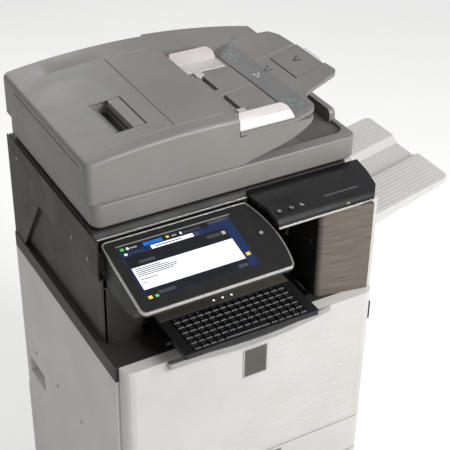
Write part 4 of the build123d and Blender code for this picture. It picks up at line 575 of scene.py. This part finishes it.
def row_tree():
    """Repeats a piece along a straight row: count, first place, step, a small random lift and a finish."""
    tree = bpy.data.node_groups.new("repeat_along_a_row", "GeometryNodeTree")
    face = tree.interface
    face.new_socket("Geometry", in_out="OUTPUT", socket_type="NodeSocketGeometry")
    for name, kind in ROW_INPUTS:
        face.new_socket(name, in_out="INPUT", socket_type=kind)
    given = tree.nodes.new("NodeGroupInput").outputs
    line = add(tree, "GeometryNodeMeshLine", {"Count": given["Count"], "Start Location": given["First"],
                                              "Offset": given["Step"]}, mode="OFFSET")
    lift = add(tree, "FunctionNodeRandomValue", {"Seed": ROW_SEED}, data_type="FLOAT")
    scaled = add(tree, "ShaderNodeMath", {0: lift.outputs[1], 1: given["Lift"]}, operation="MULTIPLY")
    offset = add(tree, "ShaderNodeCombineXYZ", {"Z": scaled.outputs[0]})
    moved = add(tree, "GeometryNodeSetPosition", {"Geometry": line.outputs[0], "Offset": offset.outputs[0]})
    piece = add(tree, "GeometryNodeObjectInfo", {"Object": given["Piece"]}, transform_space="ORIGINAL")
    copies = add(tree, "GeometryNodeInstanceOnPoints", {"Points": moved.outputs[0],
                                                        "Instance": piece.outputs["Geometry"]})
    real = add(tree, "GeometryNodeRealizeInstances", {"Geometry": copies.outputs[0]})
    finished = add(tree, "GeometryNodeSetMaterial", {"Geometry": real.outputs[0],
                                                     "Material": given["Finish"]})
    out = tree.nodes.new("NodeGroupOutput")
    tree.links.new(finished.outputs[0], out.inputs[0])
    return tree


ROW = row_tree()


def run_tree(tree, name, values):
    """Evaluates a tree once and returns its result as a plain mesh."""
    holder = bpy.data.objects.new(name, bpy.data.meshes.new(name))
    bpy.context.scene.collection.objects.link(holder)
    modifier = holder.modifiers.new("nodes", "NODES")
    modifier.node_group = tree
    for item in tree.interface.items_tree:
        if item.in_out == "INPUT" and item.name in values:
            modifier[item.identifier] = values[item.name]
    holder.update_tag()
    depsgraph = bpy.context.evaluated_depsgraph_get()
    mesh = bpy.data.meshes.new_from_object(holder.evaluated_get(depsgraph))
    bpy.data.objects.remove(holder)
    return mesh


def rows(name, piece, material, runs, angle=35.0):
    """One mesh from several rows of a repeated piece; each run is (count, first, step, lift)."""
    total = bmesh.new()
    for count, first, step, lift in runs:
        mesh = run_tree(ROW, name + "_row", {"Piece": piece, "Count": count, "First": first, "Step": step,
                                             "Lift": lift, "Finish": material})
        total.from_mesh(mesh)
        bpy.data.meshes.remove(mesh)
    bpy.data.objects.remove(piece)
    return new_piece(name, total, material, angle=angle)


def pattern_piece(name, bm):
    """A hidden original for a row: never shown itself."""
    mesh = bpy.data.meshes.new(name)
    bm.to_mesh(mesh)
    bm.free()
    obj = bpy.data.objects.new(name, mesh)
    bpy.context.scene.collection.objects.link(obj)
    return obj


# ---------------------------------------------------------------- covers and housings
WHITE_PARTS = {"left_cover_lower": 1.0, "right_cover": 1.0, "rear_cover": 1.0, "paper_stand": 1.0,
               "drawer_front_1": 1.0, "drawer_front_2": 1.0, "side_door": 0.8, "bypass_tray": 0.8,
               "right_exit_tray": 1.2, "front_door": 1.0}
GREY_PARTS = {"lid": 1.5, "feeder_body": 1.2, "feeder_cover": 0.7, "cover_latch": 0.8, "feed_tray": 1.6,
              "tray_extension": 0.6}
BROWN_PARTS = {"deck": 2.0, "output_tray": 1.0, "keyboard_housing": 1.0, "scanner_housing": 1.0,
               "left_cover_upper": 1.2}
PINK_PARTS = {"guide_front": 1.0, "guide_rear": 1.0}
BLACK_PARTS = {"side_latch": 0.8, "save_key": 0.4, "power_key": 0.4, "power_inlet": 0.4}


def soften_all(material, parts):
    """Softens parts that share a finish; each has its edge radius in millimetres."""
    for node, radius in parts.items():
        softened(node, radius, material)


def make_plain_skins():
    """Moulded parts: one finish each, but for the pillar, the shelf and the touch panel's case."""
    soften_all(WHITE, WHITE_PARTS)
    soften_all(GREY, GREY_PARTS)
    soften_all(BROWN, BROWN_PARTS)
    # The pillar's inner faces take painted shade.
    softened("pillar_cover", 0.8, PILLAR, CAVITY_SHADE, paint=paint_pillar)
    soften_all(PINK, PINK_PARTS)
    softened("control_shelf", 1.2, GLOSS, SEAM, paint=paint_shelf)
    softened("tablet_case", 0.9, BLACK, TRIM, paint=paint_tablet)
    softened("keyboard_tray", 0.8, BLACK)
    softened("door_handle", 3.0, HANDLE, segments=4)
    soften_all(BLACK, BLACK_PARTS)


def dress_cad():
    """Parts whose CAD shape is already right only take a finish."""
    finishes = {
        "base_frame": ZINC, "drawer_tray_1": ZINC, "drawer_tray_2": ZINC, "tablet_bracket": ZINC,
        "lid_hinges": ZINC, "levelling_feet": STEEL, "keyboard_rails": SLIDE, "heat_roller": STEEL,
        "lens_unit": BLACK, "cover_screws": STEEL, "lamp_carriage": ZINC, "mirror_carriage": ZINC,
        "drum_units": STEEL,
        "feed_roller": RUBBER, "exit_roller": RUBBER, "pressure_roller": RUBBER, "transfer_belt": belt_film(),
        "laser_unit": BLACK, "fuser_case": BLACK, "platen_mat": foam_white(), "platen_glass": scanner_glass(),
        "home_key": FACE, "tablet_glass": FACE,
        "toner_cartridges": toner_shell(),
    }
    for node, material in finishes.items():
        dress(CAD[node], material)


# ---------------------------------------------------------------- ribs, by Geometry Nodes
def wander(x):
    """How far a rib strays up or down along its length."""
    return 1.6 * sin(x / 74.0) + 0.7 * sin(x / 31.0 + 1.0)


def make_door_ribs():
    """Wavy level ribs moulded in the door's front, strongest at its middle and right."""
    low, high = span("front_door")
    pitch_mm, half_run, steps, proud_mm, drop_mm = 9.0, 270.0, 72, 1.1, 6.0
    first_z, last_z = high.z - 20.0, low.z + 8.0
    bm = bmesh.new()
    points = []
    for k in range(steps + 1):
        x = -half_run + 2 * half_run * k / steps
        fade_in = min(1.0, max(0.12, (x + 150.0) / 200.0))
        fade_out = min(1.0, (half_run - abs(x)) / 12.0 + 0.02)
        points.append((at(x, low.y, first_z + wander(x)), proud_mm * fade_in * fade_out))
    wedge(bm, points, drop_mm, (0, -1, 0))
    piece = pattern_piece("door_rib_pattern", bm)
    count = int((first_z - last_z) // pitch_mm)
    run = (count, (0, 0, 0), (0, 0, -pitch_mm * MM), 0.8 * MM)
    attach(rows("door_ribs", piece, WHITE, [run]), "front_door")


def make_pillar_ribs():
    """Fine lines across the pillar's front face."""
    pitch_mm, count, steps, proud_mm, drop_mm, top_z = 6.2, 32, 24, 0.5, 4.2, 208.0
    left, right = (186.0, 5.2), (286.5, -13.8)
    bm = bmesh.new()
    points = []
    for k in range(steps + 1):
        t = k / steps
        x, y = left[0] + (right[0] - left[0]) * t, left[1] + (right[1] - left[1]) * t
        fade = min(1.0, 12 * t + 0.05, 12 * (1 - t) + 0.05)
        points.append((at(x, y - 0.1, top_z + 0.5 * wander(x)), proud_mm * fade))
    wedge(bm, points, drop_mm, (-0.18, -0.98, 0))
    piece = pattern_piece("pillar_rib_pattern", bm)
    run = (count, (0, 0, 0), (0, 0, -pitch_mm * MM), 1.6 * MM)
    attach(rows("pillar_ribs", piece, PILLAR, [run]), "pillar_cover")


def make_exit_tray_ribs():
    """Fine ribs that run outwards along the catch tray, on both sides of its trough."""
    low, high = span("right_exit_tray")
    rise, root, pitch_mm, count, far_side_y = 0.2235, 152.25, 11.0, 9, 235.0
    start, end = HALF_WIDTH + 4.0, high.x - 18.0
    bm = bmesh.new()
    strip(bm, [at(x, 0.0, root + (x - HALF_WIDTH) * rise) for x in (start, (start + end) / 2, end)], 4.6, 1.3)
    piece = pattern_piece("catch_tray_rib_pattern", bm)
    step = (0, pitch_mm * MM, 0)
    runs = [(count, (0, y * MM, 0), step, 0.0) for y in (low.y + 8, far_side_y)]
    attach(rows("catch_tray_ribs", piece, WHITE, runs), "right_exit_tray")


# ---------------------------------------------------------------- keyboard
FIELD_X, FIELD_Y = (-168.0, 94.0), (-76.0, 31.0)
KEY_TOP, SHEET_Z, KEY_FOOT = 49.0, 43.2, 43.6
COLUMNS, ROWS_OF_KEYS = 15, 6
PITCH_X = (FIELD_X[1] - FIELD_X[0]) / COLUMNS
PITCH_Y = (FIELD_Y[1] - FIELD_Y[0]) / ROWS_OF_KEYS
KEY_GAP = 1.7
SPACE_BAR = (4, 9)              # first and last column that the space bar takes, in the nearest row
KEY_SHARP = 20.0                # degrees; lower than SHARP, so that the caps' dish stays crisp


def cap_into(bm, width, depth):
    """A key cap centred on the origin: straight skirt, then sides that lean in to a dished top."""
    lean, shoulder, dish = 1.7, 2.6, 0.35
    rings = []
    for inset, z in ((0.0, KEY_FOOT), (0.0, KEY_TOP - shoulder), (lean, KEY_TOP)):
        w, d = (width / 2 - inset) * MM, (depth / 2 - inset) * MM
        rings.append([bm.verts.new((x * w, y * d, z * MM)) for x, y in CORNERS])
    for first, second in zip(rings, rings[1:]):
        for k in range(4):
            bm.faces.new((first[k], first[(k + 1) % 4], second[(k + 1) % 4], second[k]))
    middle = bm.verts.new((0, 0, (KEY_TOP - dish) * MM))
    for k in range(4):
        bm.faces.new((rings[-1][k], rings[-1][(k + 1) % 4], middle))
    bm.faces.new(rings[0][::-1])


def key_runs(lift):
    """One run for each unbroken row of keys; lift moves it to where a mark sits on the cap."""
    runs = []
    for row in range(ROWS_OF_KEYS):
        y = FIELD_Y[0] + (row + 0.5) * PITCH_Y
        spans = ((0, SPACE_BAR[0]), (SPACE_BAR[1] + 1, COLUMNS)) if row == 0 else ((0, COLUMNS),)
        for first, last in spans:
            place = at(FIELD_X[0] + (first + 0.5) * PITCH_X, y, 0) + Vector(lift) * MM
            runs.append((last - first, place, (PITCH_X * MM, 0, 0), 0.0))
    return runs


def add_space_bar(bm):
    """Puts the space bar into the mesh of the key caps."""
    bar = bmesh.new()
    count = SPACE_BAR[1] - SPACE_BAR[0] + 1
    cap_into(bar, PITCH_X * count - KEY_GAP, PITCH_Y - KEY_GAP)
    middle = at(FIELD_X[0] + (SPACE_BAR[0] + count / 2) * PITCH_X, FIELD_Y[0] + PITCH_Y / 2, 0)
    bar.transform(Matrix.Translation(middle))
    extra = bpy.data.meshes.new("space_bar")
    bar.to_mesh(extra)
    bar.free()
    bm.from_mesh(extra)


def make_keys():
    """Rows of caps on their spring sheet, with the space bar and a small blank mark on each cap."""
    bm = bmesh.new()
    cap_into(bm, PITCH_X - KEY_GAP, PITCH_Y - KEY_GAP)
    cap = pattern_piece("key_cap_pattern", bm)
    mark = bmesh.new()
    bmesh.ops.create_cube(mark, size=1.0, matrix=Matrix.Diagonal((2.6 * MM, 1.5 * MM, 0.1 * MM, 1.0)))
    mark = pattern_piece("key_mark_pattern", mark)
    keys = rows("key_caps", cap, KEYS, key_runs((0, 0, 0)), angle=KEY_SHARP)
    bm = bmesh.new()
    bm.from_mesh(keys.data)
    add_space_bar(bm)
    box_into(bm, FIELD_X, FIELD_Y, (SHEET_Z, SHEET_Z + 0.8))
    bm.to_mesh(keys.data)
    bm.free()
    shade(keys.data, KEY_SHARP)
    round_edges(keys, 0.45, angle=KEY_SHARP)
    place_on(keys, BODY["keyboard_keys"], SLOTS["keyboard_keys"], "keyboard_keys")
    attach(rows("key_cap_marks", mark, MARK, key_runs((-2.6, 2.6, KEY_TOP - 0.25))), "keyboard_keys")


def make_keyboard_trim():
    """Lacquered strip behind the keys, with three small round lamps."""
    low, high = span("keyboard_tray")
    plate = [((low.x + 3, high.x - 3), (34.0, high.y - 1), (high.z - 0.2, high.z + 0.5), 0)]
    boxes("keyboard_strip", "keyboard_tray", (STRIP,), plate, bevel_mm=0.3)
    lamps = bmesh.new()
    for x in (-58.0, -37.0, -16.0):
        ring_into(lamps, at, (x, 47.5), 2.3, 2.2, (high.z + 0.4, high.z + 1.1))
    attach(new_piece("keyboard_lamps", lamps, LAMP), "keyboard_tray")


# ---------------------------------------------------------------- touch panel and shelf
# The screen's blocks: (across, back, level, finish), on the panel's own axes, from the ground upwards.
NAVY_N, BLACK_N, BLUE_N, WHITE_N, GREY_N, SLATE_N, GREEN_N, AMBER_N, SIDE_N = range(9)
SCREEN_FINISHES = (GLOW_NAVY, GLOW_BLACK, GLOW_BLUE, GLOW_WHITE, GLOW_GREY, GLOW_SLATE, GLOW_GREEN,
                   GLOW_AMBER, GLOW_SIDE)
SCREEN_LEVELS = ((-0.5, -0.30), (-0.35, -0.22), (-0.35, -0.15), (-0.35, -0.08))
SCREEN_GROUNDS = (
    ((-137, 107), (-163, -23.5), 0, NAVY_N), ((-136, 58), (-37, -24.5), 1, BLACK_N),
    ((60, 106), (-31, -24), 1, SLATE_N), ((-135, 86), (-80, -51), 1, BLACK_N),
    ((-135, 86), (-162, -141), 1, BLACK_N), ((88, 106), (-122, -33), 1, SIDE_N),
)
SCREEN_PANELS = (
    ((-84, -43), (-36.5, -27.5), 2, BLUE_N), ((-73, 19), (-49, -39.5), 2, WHITE_N),
    ((22, 32), (-49, -40), 2, SLATE_N), ((36, 84), (-48, -41), 2, SIDE_N),
    ((-133, 86), (-139, -82), 2, WHITE_N), ((-112, -78), (-75, -68), 2, SLATE_N),
    ((40, 70), (-66, -58), 2, SLATE_N), ((-110, -75), (-158, -150), 2, SLATE_N),
    ((62, 82), (-158, -150), 2, SLATE_N),
)
SCREEN_LINES = tuple(((-128, end), (v, v + 2.0), 3, SLATE_N) for v, end in (
    (-88, -74), (-92.5, -58), (-97, -42), (-101.5, -46), (-106, -52), (-115, -92), (-124, -118)))
SCREEN_MARKS = (
    ((-134, -126), (-163, -156), 3, AMBER_N), ((-120, -113), (-163.0, -157), 3, GREEN_N),
    ((92, 101), (-134, -126), 3, AMBER_N), ((-133, -125), (-34, -27), 3, GREEN_N),
    ((-120, -115), (-34, -28), 3, WHITE_N), ((-113, -98), (-33, -30), 3, GREY_N),
    ((-34, -28), (-33, -28), 3, AMBER_N), ((-22, -12), (-33, -30), 3, GREY_N),
    ((-4, 0), (-34, -28), 3, WHITE_N), ((4, 40), (-33, -30), 3, SLATE_N),
    ((-130, -124), (-47, -42), 3, WHITE_N), ((-120, -90), (-46, -43), 3, SLATE_N),
    ((74, 82), (-66, -57), 3, GREY_N), ((-64, -8), (-45.5, -43), 3, SLATE_N),
)


def make_screen():
    """The screen's picture, the light line above it and the mark on the home key."""
    blocks = SCREEN_GROUNDS + SCREEN_PANELS + SCREEN_LINES + SCREEN_MARKS
    bars = [(x, y, SCREEN_LEVELS[level], number) for x, y, level, number in blocks]
    boxes("screen_picture", "tablet_glass", SCREEN_FINISHES, bars, on_tablet)
    light = [((-138, 113), (-21.5, -18.7), (-0.5, -0.1), 0)]
    boxes("screen_light_line", "tablet_glass", (TRIM,), light, on_tablet)
    home = bmesh.new()
    height = (0.3, 0.45)
    ring_into(home, on_tablet, (148.5, -90.0), 4.2, 1.1, height)
    box_into(home, (146.7, 150.3), (-91.6, -88.4), height, 0, on_tablet)
    attach(new_piece("home_key_mark", home, MARK), "home_key")


SILVER_Z = 219.7
SILVER_CORNER = ((290, -6.2), (300, 4.4), (311.2, 18.6), (318.2, 60), (318.2, 98))


def make_shelf_trim():
    """Silver lines along the shelf, the slim bar and small marks on its face and keys."""
    node, left = "control_shelf", span("control_shelf")[0].x
    lines = [((60.0, 291.0), (-7.2, -5.0), (217.4, 222.0), 0),
             ((left + 4, 44.5), (90.4, 92.2), (243.2, 246.6), 0)]
    boxes("shelf_silver_lines", node, (TRIM,), lines, bevel_mm=0.5)
    corner = bmesh.new()
    strip(corner, [at(x, y, SILVER_Z) for x, y in SILVER_CORNER], 1.2, 4.0)
    attach(new_piece("shelf_silver_corner", corner, TRIM), node)
    boxes("shelf_slim_bar", node, (STRIP,), [((187, 269), (25, 29), (-0.4, 0.35), 0)], on_shelf, 0.3)
    marks = [((x, x + 1.6), (-7.0, -5.4), (229.5, 232.5), 0) for x in (222, 225, 228)]
    boxes("shelf_front_mark", node, (MARK,), marks)
    for key, x, turn in (("save_key", 76.0, tau), ("power_key", 105.0, tau * 0.8)):
        top = span(key)[1].z
        mark = bmesh.new()
        ring_into(mark, at, (x, 21.0), 4.3, 1.0, (top - 0.1, top + 0.12), turn)
        box_into(mark, (x - 1.7, x + 1.7), (20.0, 22.0), (top - 0.1, top + 0.12))
        attach(new_piece(f"{key}_mark", mark, MARK), key)
    lamp = bmesh.new()
    ring_into(lamp, on_shelf, (130.0, 24.0), 3.0, 1.0, (-0.3, 0.4))
    box_into(lamp, (132.0, 135.0), (19.5, 21.0), (-0.3, 0.4), 0, on_shelf)
    attach(new_piece("shelf_lamp_mark", lamp, MARK), node)


# ---------------------------------------------------------------- feeder, tray and badge
def tray_line(bm, points, width, height, above=0.1):
    """Adds a thin bar along points of the document tray."""
    strip(bm, [on_tray(x, y, above) for x, y in points], width, height)


def arrow_into(bm, x, y, reach):
    """A dark V arrow on the tray that points left, to where the sheets go in."""
    spread = reach * 0.62
    for dy in (spread, -spread):
        tray_line(bm, ((x, y), (x + reach, y + dy)), 1.5, 0.5, 0.15)


# Sheet-size marks printed on the tray's band: (x, y of the middle, length across the feed).
SCALE_STROKES = (
    (172, 424, 16), (172, 402, 10), (180, 410, 22), (188, 396, 12), (176, 382, 8), (190, 424, 8),
    (172, 176, 12), (180, 168, 20), (188, 160, 10), (174, 148, 8), (192, 138, 14), (184, 134, 8),
)


def make_tray_band():
    """The grey band across the tray."""
    band = [((164.5, 205.0), (118.0, 447.0), (-0.3, 0.25), 0)]
    boxes("tray_scale_band", "feed_tray", (TRAY_BAND,), band, on_tray)


def make_tray_lines():
    """The tray's dark joints and arrow, and painted highlight lines where its mouldings meet."""
    seams = bmesh.new()
    tray_line(seams, ((158.5, 448), (161.5, 282), (163.0, 122)), 2.2, 0.7)
    tray_line(seams, ((301.5, 300), (301.5, 236)), 1.0, 0.5)
    arrow_into(seams, 199.0, 298.0, 17.0)
    attach(new_piece("tray_dark_lines", seams, SEAM), "feed_tray")
    # Painted highlights: pale lines where light catches the edges of the mouldings.
    light = bmesh.new()
    tray_line(light, ((62, 258), (158, 281)), 1.1, 0.4)
    tray_line(light, ((208, 345), (296, 331)), 1.3, 0.5)
    attach(new_piece("tray_light_lines", light, PAINTED_EDGE_HIGHLIGHT), "feed_tray")


def make_tray_marks():
    """Teal strokes for the sheet sizes and three small pale blocks between them."""
    marks = []
    for x, y, length in SCALE_STROKES:
        marks.append(((x, x + 3.0), (y - length / 2, y + length / 2), (0.2, 0.45), 0))
    marks += [((x, x + 5.0), (y, y + 7.0), (0.2, 0.5), 1) for x, y in ((176, 300), (184, 296), (178, 288))]
    boxes("tray_scale_marks", "feed_tray", (SCALE_MARK, MARK), marks, on_tray)


def make_extension_lines():
    """The arrow on the tray's extension, a line behind it and the dark gap at its root."""
    below_tray = 1.2
    plate = bmesh.new()
    arrow_into(plate, 262.0, 281.0, 15.0)
    tray_line(plate, ((258, 306), (259, 244)), 1.3, 0.6, -below_tray)
    for vert in plate.verts:
        vert.co.z -= below_tray * MM
    attach(new_piece("extension_dark_lines", plate, SEAM), "tray_extension")
    boxes("extension_gap", "feed_tray", (SEAM,), [((231.5, 234.6), (219.6, 328.4), (-4.9, -1.5), 0)], on_tray)


FEEDER_LEFT, TRAY_END = 3.0 - HALF_WIDTH, HALF_WIDTH - 1.0
ARCH = ((FEEDER_LEFT - 27.0, 402.75), (FEEDER_LEFT + 203.0, 425.5), (TRAY_END, 388.0))


def arch_height(x):
    """Height of the feeder's arched top, which is one circle through three points."""
    (x1, z1), (x2, z2), (x3, z3) = ARCH
    d = 2 * (x1 * (z2 - z3) + x2 * (z3 - z1) + x3 * (z1 - z2))
    s1, s2, s3 = x1 * x1 + z1 * z1, x2 * x2 + z2 * z2, x3 * x3 + z3 * z3
    cx = (s1 * (z2 - z3) + s2 * (z3 - z1) + s3 * (z1 - z2)) / d
    cz = (s1 * (x3 - x2) + s2 * (x1 - x3) + s3 * (x2 - x1)) / d
    return cz + ((x1 - cx) ** 2 + (z1 - cz) ** 2 - (x - cx) ** 2) ** 0.5


def make_feeder_details():
    """Painted highlight lines along the feeder's arched top and painted shade in the gap at the foot of the
    latch well.
    """
    # Painted highlights where light catches the edges of the arched top.
    light = bmesh.new()
    for y in (137.0, 473.0):
        strip(light, [at(x, y, arch_height(x) + 0.1) for x in range(-262, 12, 13)], 0.9, 0.4)
    attach(new_piece("feeder_light_seams", light, PAINTED_EDGE_HIGHLIGHT), "feeder_body")
    # Painted shade: a dark sheet on the floor of the latch well, where shade falls.
    well = [((-183.0, -171.5), (177.0, 299.0), (395.9, 396.6), 0)]
    boxes("latch_well_shadow", "feeder_cover", (SEAM,), well)


def make_badge():
    """A blank grey plate with a silver edge, in the middle of the door."""
    front = span("front_door")[0].y
    plate = [((-30.0, 30.0), (front - 1.6, front + 0.5), (-118.0, -40.0), 0),
             ((-26.5, 26.5), (front - 2.0, front), (-114.5, -43.5), 1)]
    boxes("blank_badge", "front_door", (TRIM, BADGE), plate, bevel_mm=0.5)


# ---------------------------------------------------------------- stage
CAMERA_AZIMUTH, CAMERA_TILT, CAMERA_ROLL = radians(-29.79), radians(32.57), radians(0.96)
CAMERA_PLACE = (-1012.75, -1660.34, 1538.15)
LENS_MM, SENSOR_MM = 94.8, 36.0
FRAME_SHIFT = -0.051
FLOOR_HALF = 9.0                # metres
AMBIENT = 0.42                  # what the white surroundings give to everything but the camera


def make_camera():
    """A long lens from the left, looking down on the copier."""
    level = cos(CAMERA_TILT)
    back = Vector((sin(CAMERA_AZIMUTH) * level, -cos(CAMERA_AZIMUTH) * level, sin(CAMERA_TILT)))
    right = Vector((cos(CAMERA_AZIMUTH), sin(CAMERA_AZIMUTH), 0.0))
    up = back.cross(right)
    across = right * cos(CAMERA_ROLL) + up * sin(CAMERA_ROLL)
    upward = up * cos(CAMERA_ROLL) - right * sin(CAMERA_ROLL)
    data = bpy.data.cameras.new("camera")
    data.sensor_width = SENSOR_MM
    data.lens = LENS_MM
    data.shift_y = FRAME_SHIFT
    data.clip_start, data.clip_end = 0.1, 50.0
    camera = bpy.data.objects.new("camera", data)
    bpy.context.scene.collection.objects.link(camera)
    turn = Matrix((across, upward, back)).transposed().to_4x4()
    camera.matrix_world = Matrix.Translation(at(*CAMERA_PLACE)) @ turn
    bpy.context.scene.camera = camera


def soft_box(name, place, aim, size, power):
    """A rectangular studio light aimed at a point of the copier."""
    data = bpy.data.lights.new(name, "AREA")
    data.shape = "RECTANGLE"
    data.size, data.size_y = size
    data.energy = power
    lamp = bpy.data.objects.new(name, data)
    bpy.context.scene.collection.objects.link(lamp)
    place, aim = at(*place), at(*aim)
    turn = (aim - place).to_track_quat("-Z", "Y").to_matrix().to_4x4()
    lamp.matrix_world = Matrix.Translation(place) @ turn


def make_floor():
    """One flat square under the feet."""
    bm = bmesh.new()
    bm.faces.new([bm.verts.new((x * FLOOR_HALF, y * FLOOR_HALF, BOUNDS[0].z)) for x, y in CORNERS])
    new_piece("studio_floor", bm, FLOOR)


def make_surroundings():
    """White to the camera, a soft even grey to everything else, so that the gloss parts stay dark."""
    world = bpy.data.worlds.new("studio")
    bpy.context.scene.world = world
    world.use_nodes = True
    tree = world.node_tree
    seen = tree.nodes["Background"]
    felt = add(tree, "ShaderNodeBackground", {0: linear("#FFFFFF"), 1: AMBIENT})
    seen.inputs[0].default_value = linear("#FFFFFF")
    seen.inputs[1].default_value = 1.0
    mixed = add(tree, "ShaderNodeMixShader", {0: add(tree, "ShaderNodeLightPath").outputs["Is Camera Ray"],
                                              1: felt.outputs[0], 2: seen.outputs[0]})
    tree.links.new(mixed.outputs[0], tree.nodes["World Output"].inputs["Surface"])


def make_lights():
    """A large key light from the front right and a weak one from behind."""
    soft_box("key_light", (1300, -2200, 1900), (0, 100, 0), (1.6, 1.2), 91)
    soft_box("rim_light", (-200, 2600, 1500), (0, 300, 150), (1.6, 0.8), 14)
    view = bpy.context.scene.view_settings
    view.view_transform = "Standard"
    view.look = "None"


make_plain_skins()
dress_cad()
make_door_ribs()
make_pillar_ribs()
make_exit_tray_ribs()
make_keys()
make_keyboard_trim()
make_screen()
make_shelf_trim()
make_tray_band()
make_tray_lines()
make_tray_marks()
make_extension_lines()
make_feeder_details()
make_badge()
make_camera()
make_floor()
make_surroundings()
make_lights()
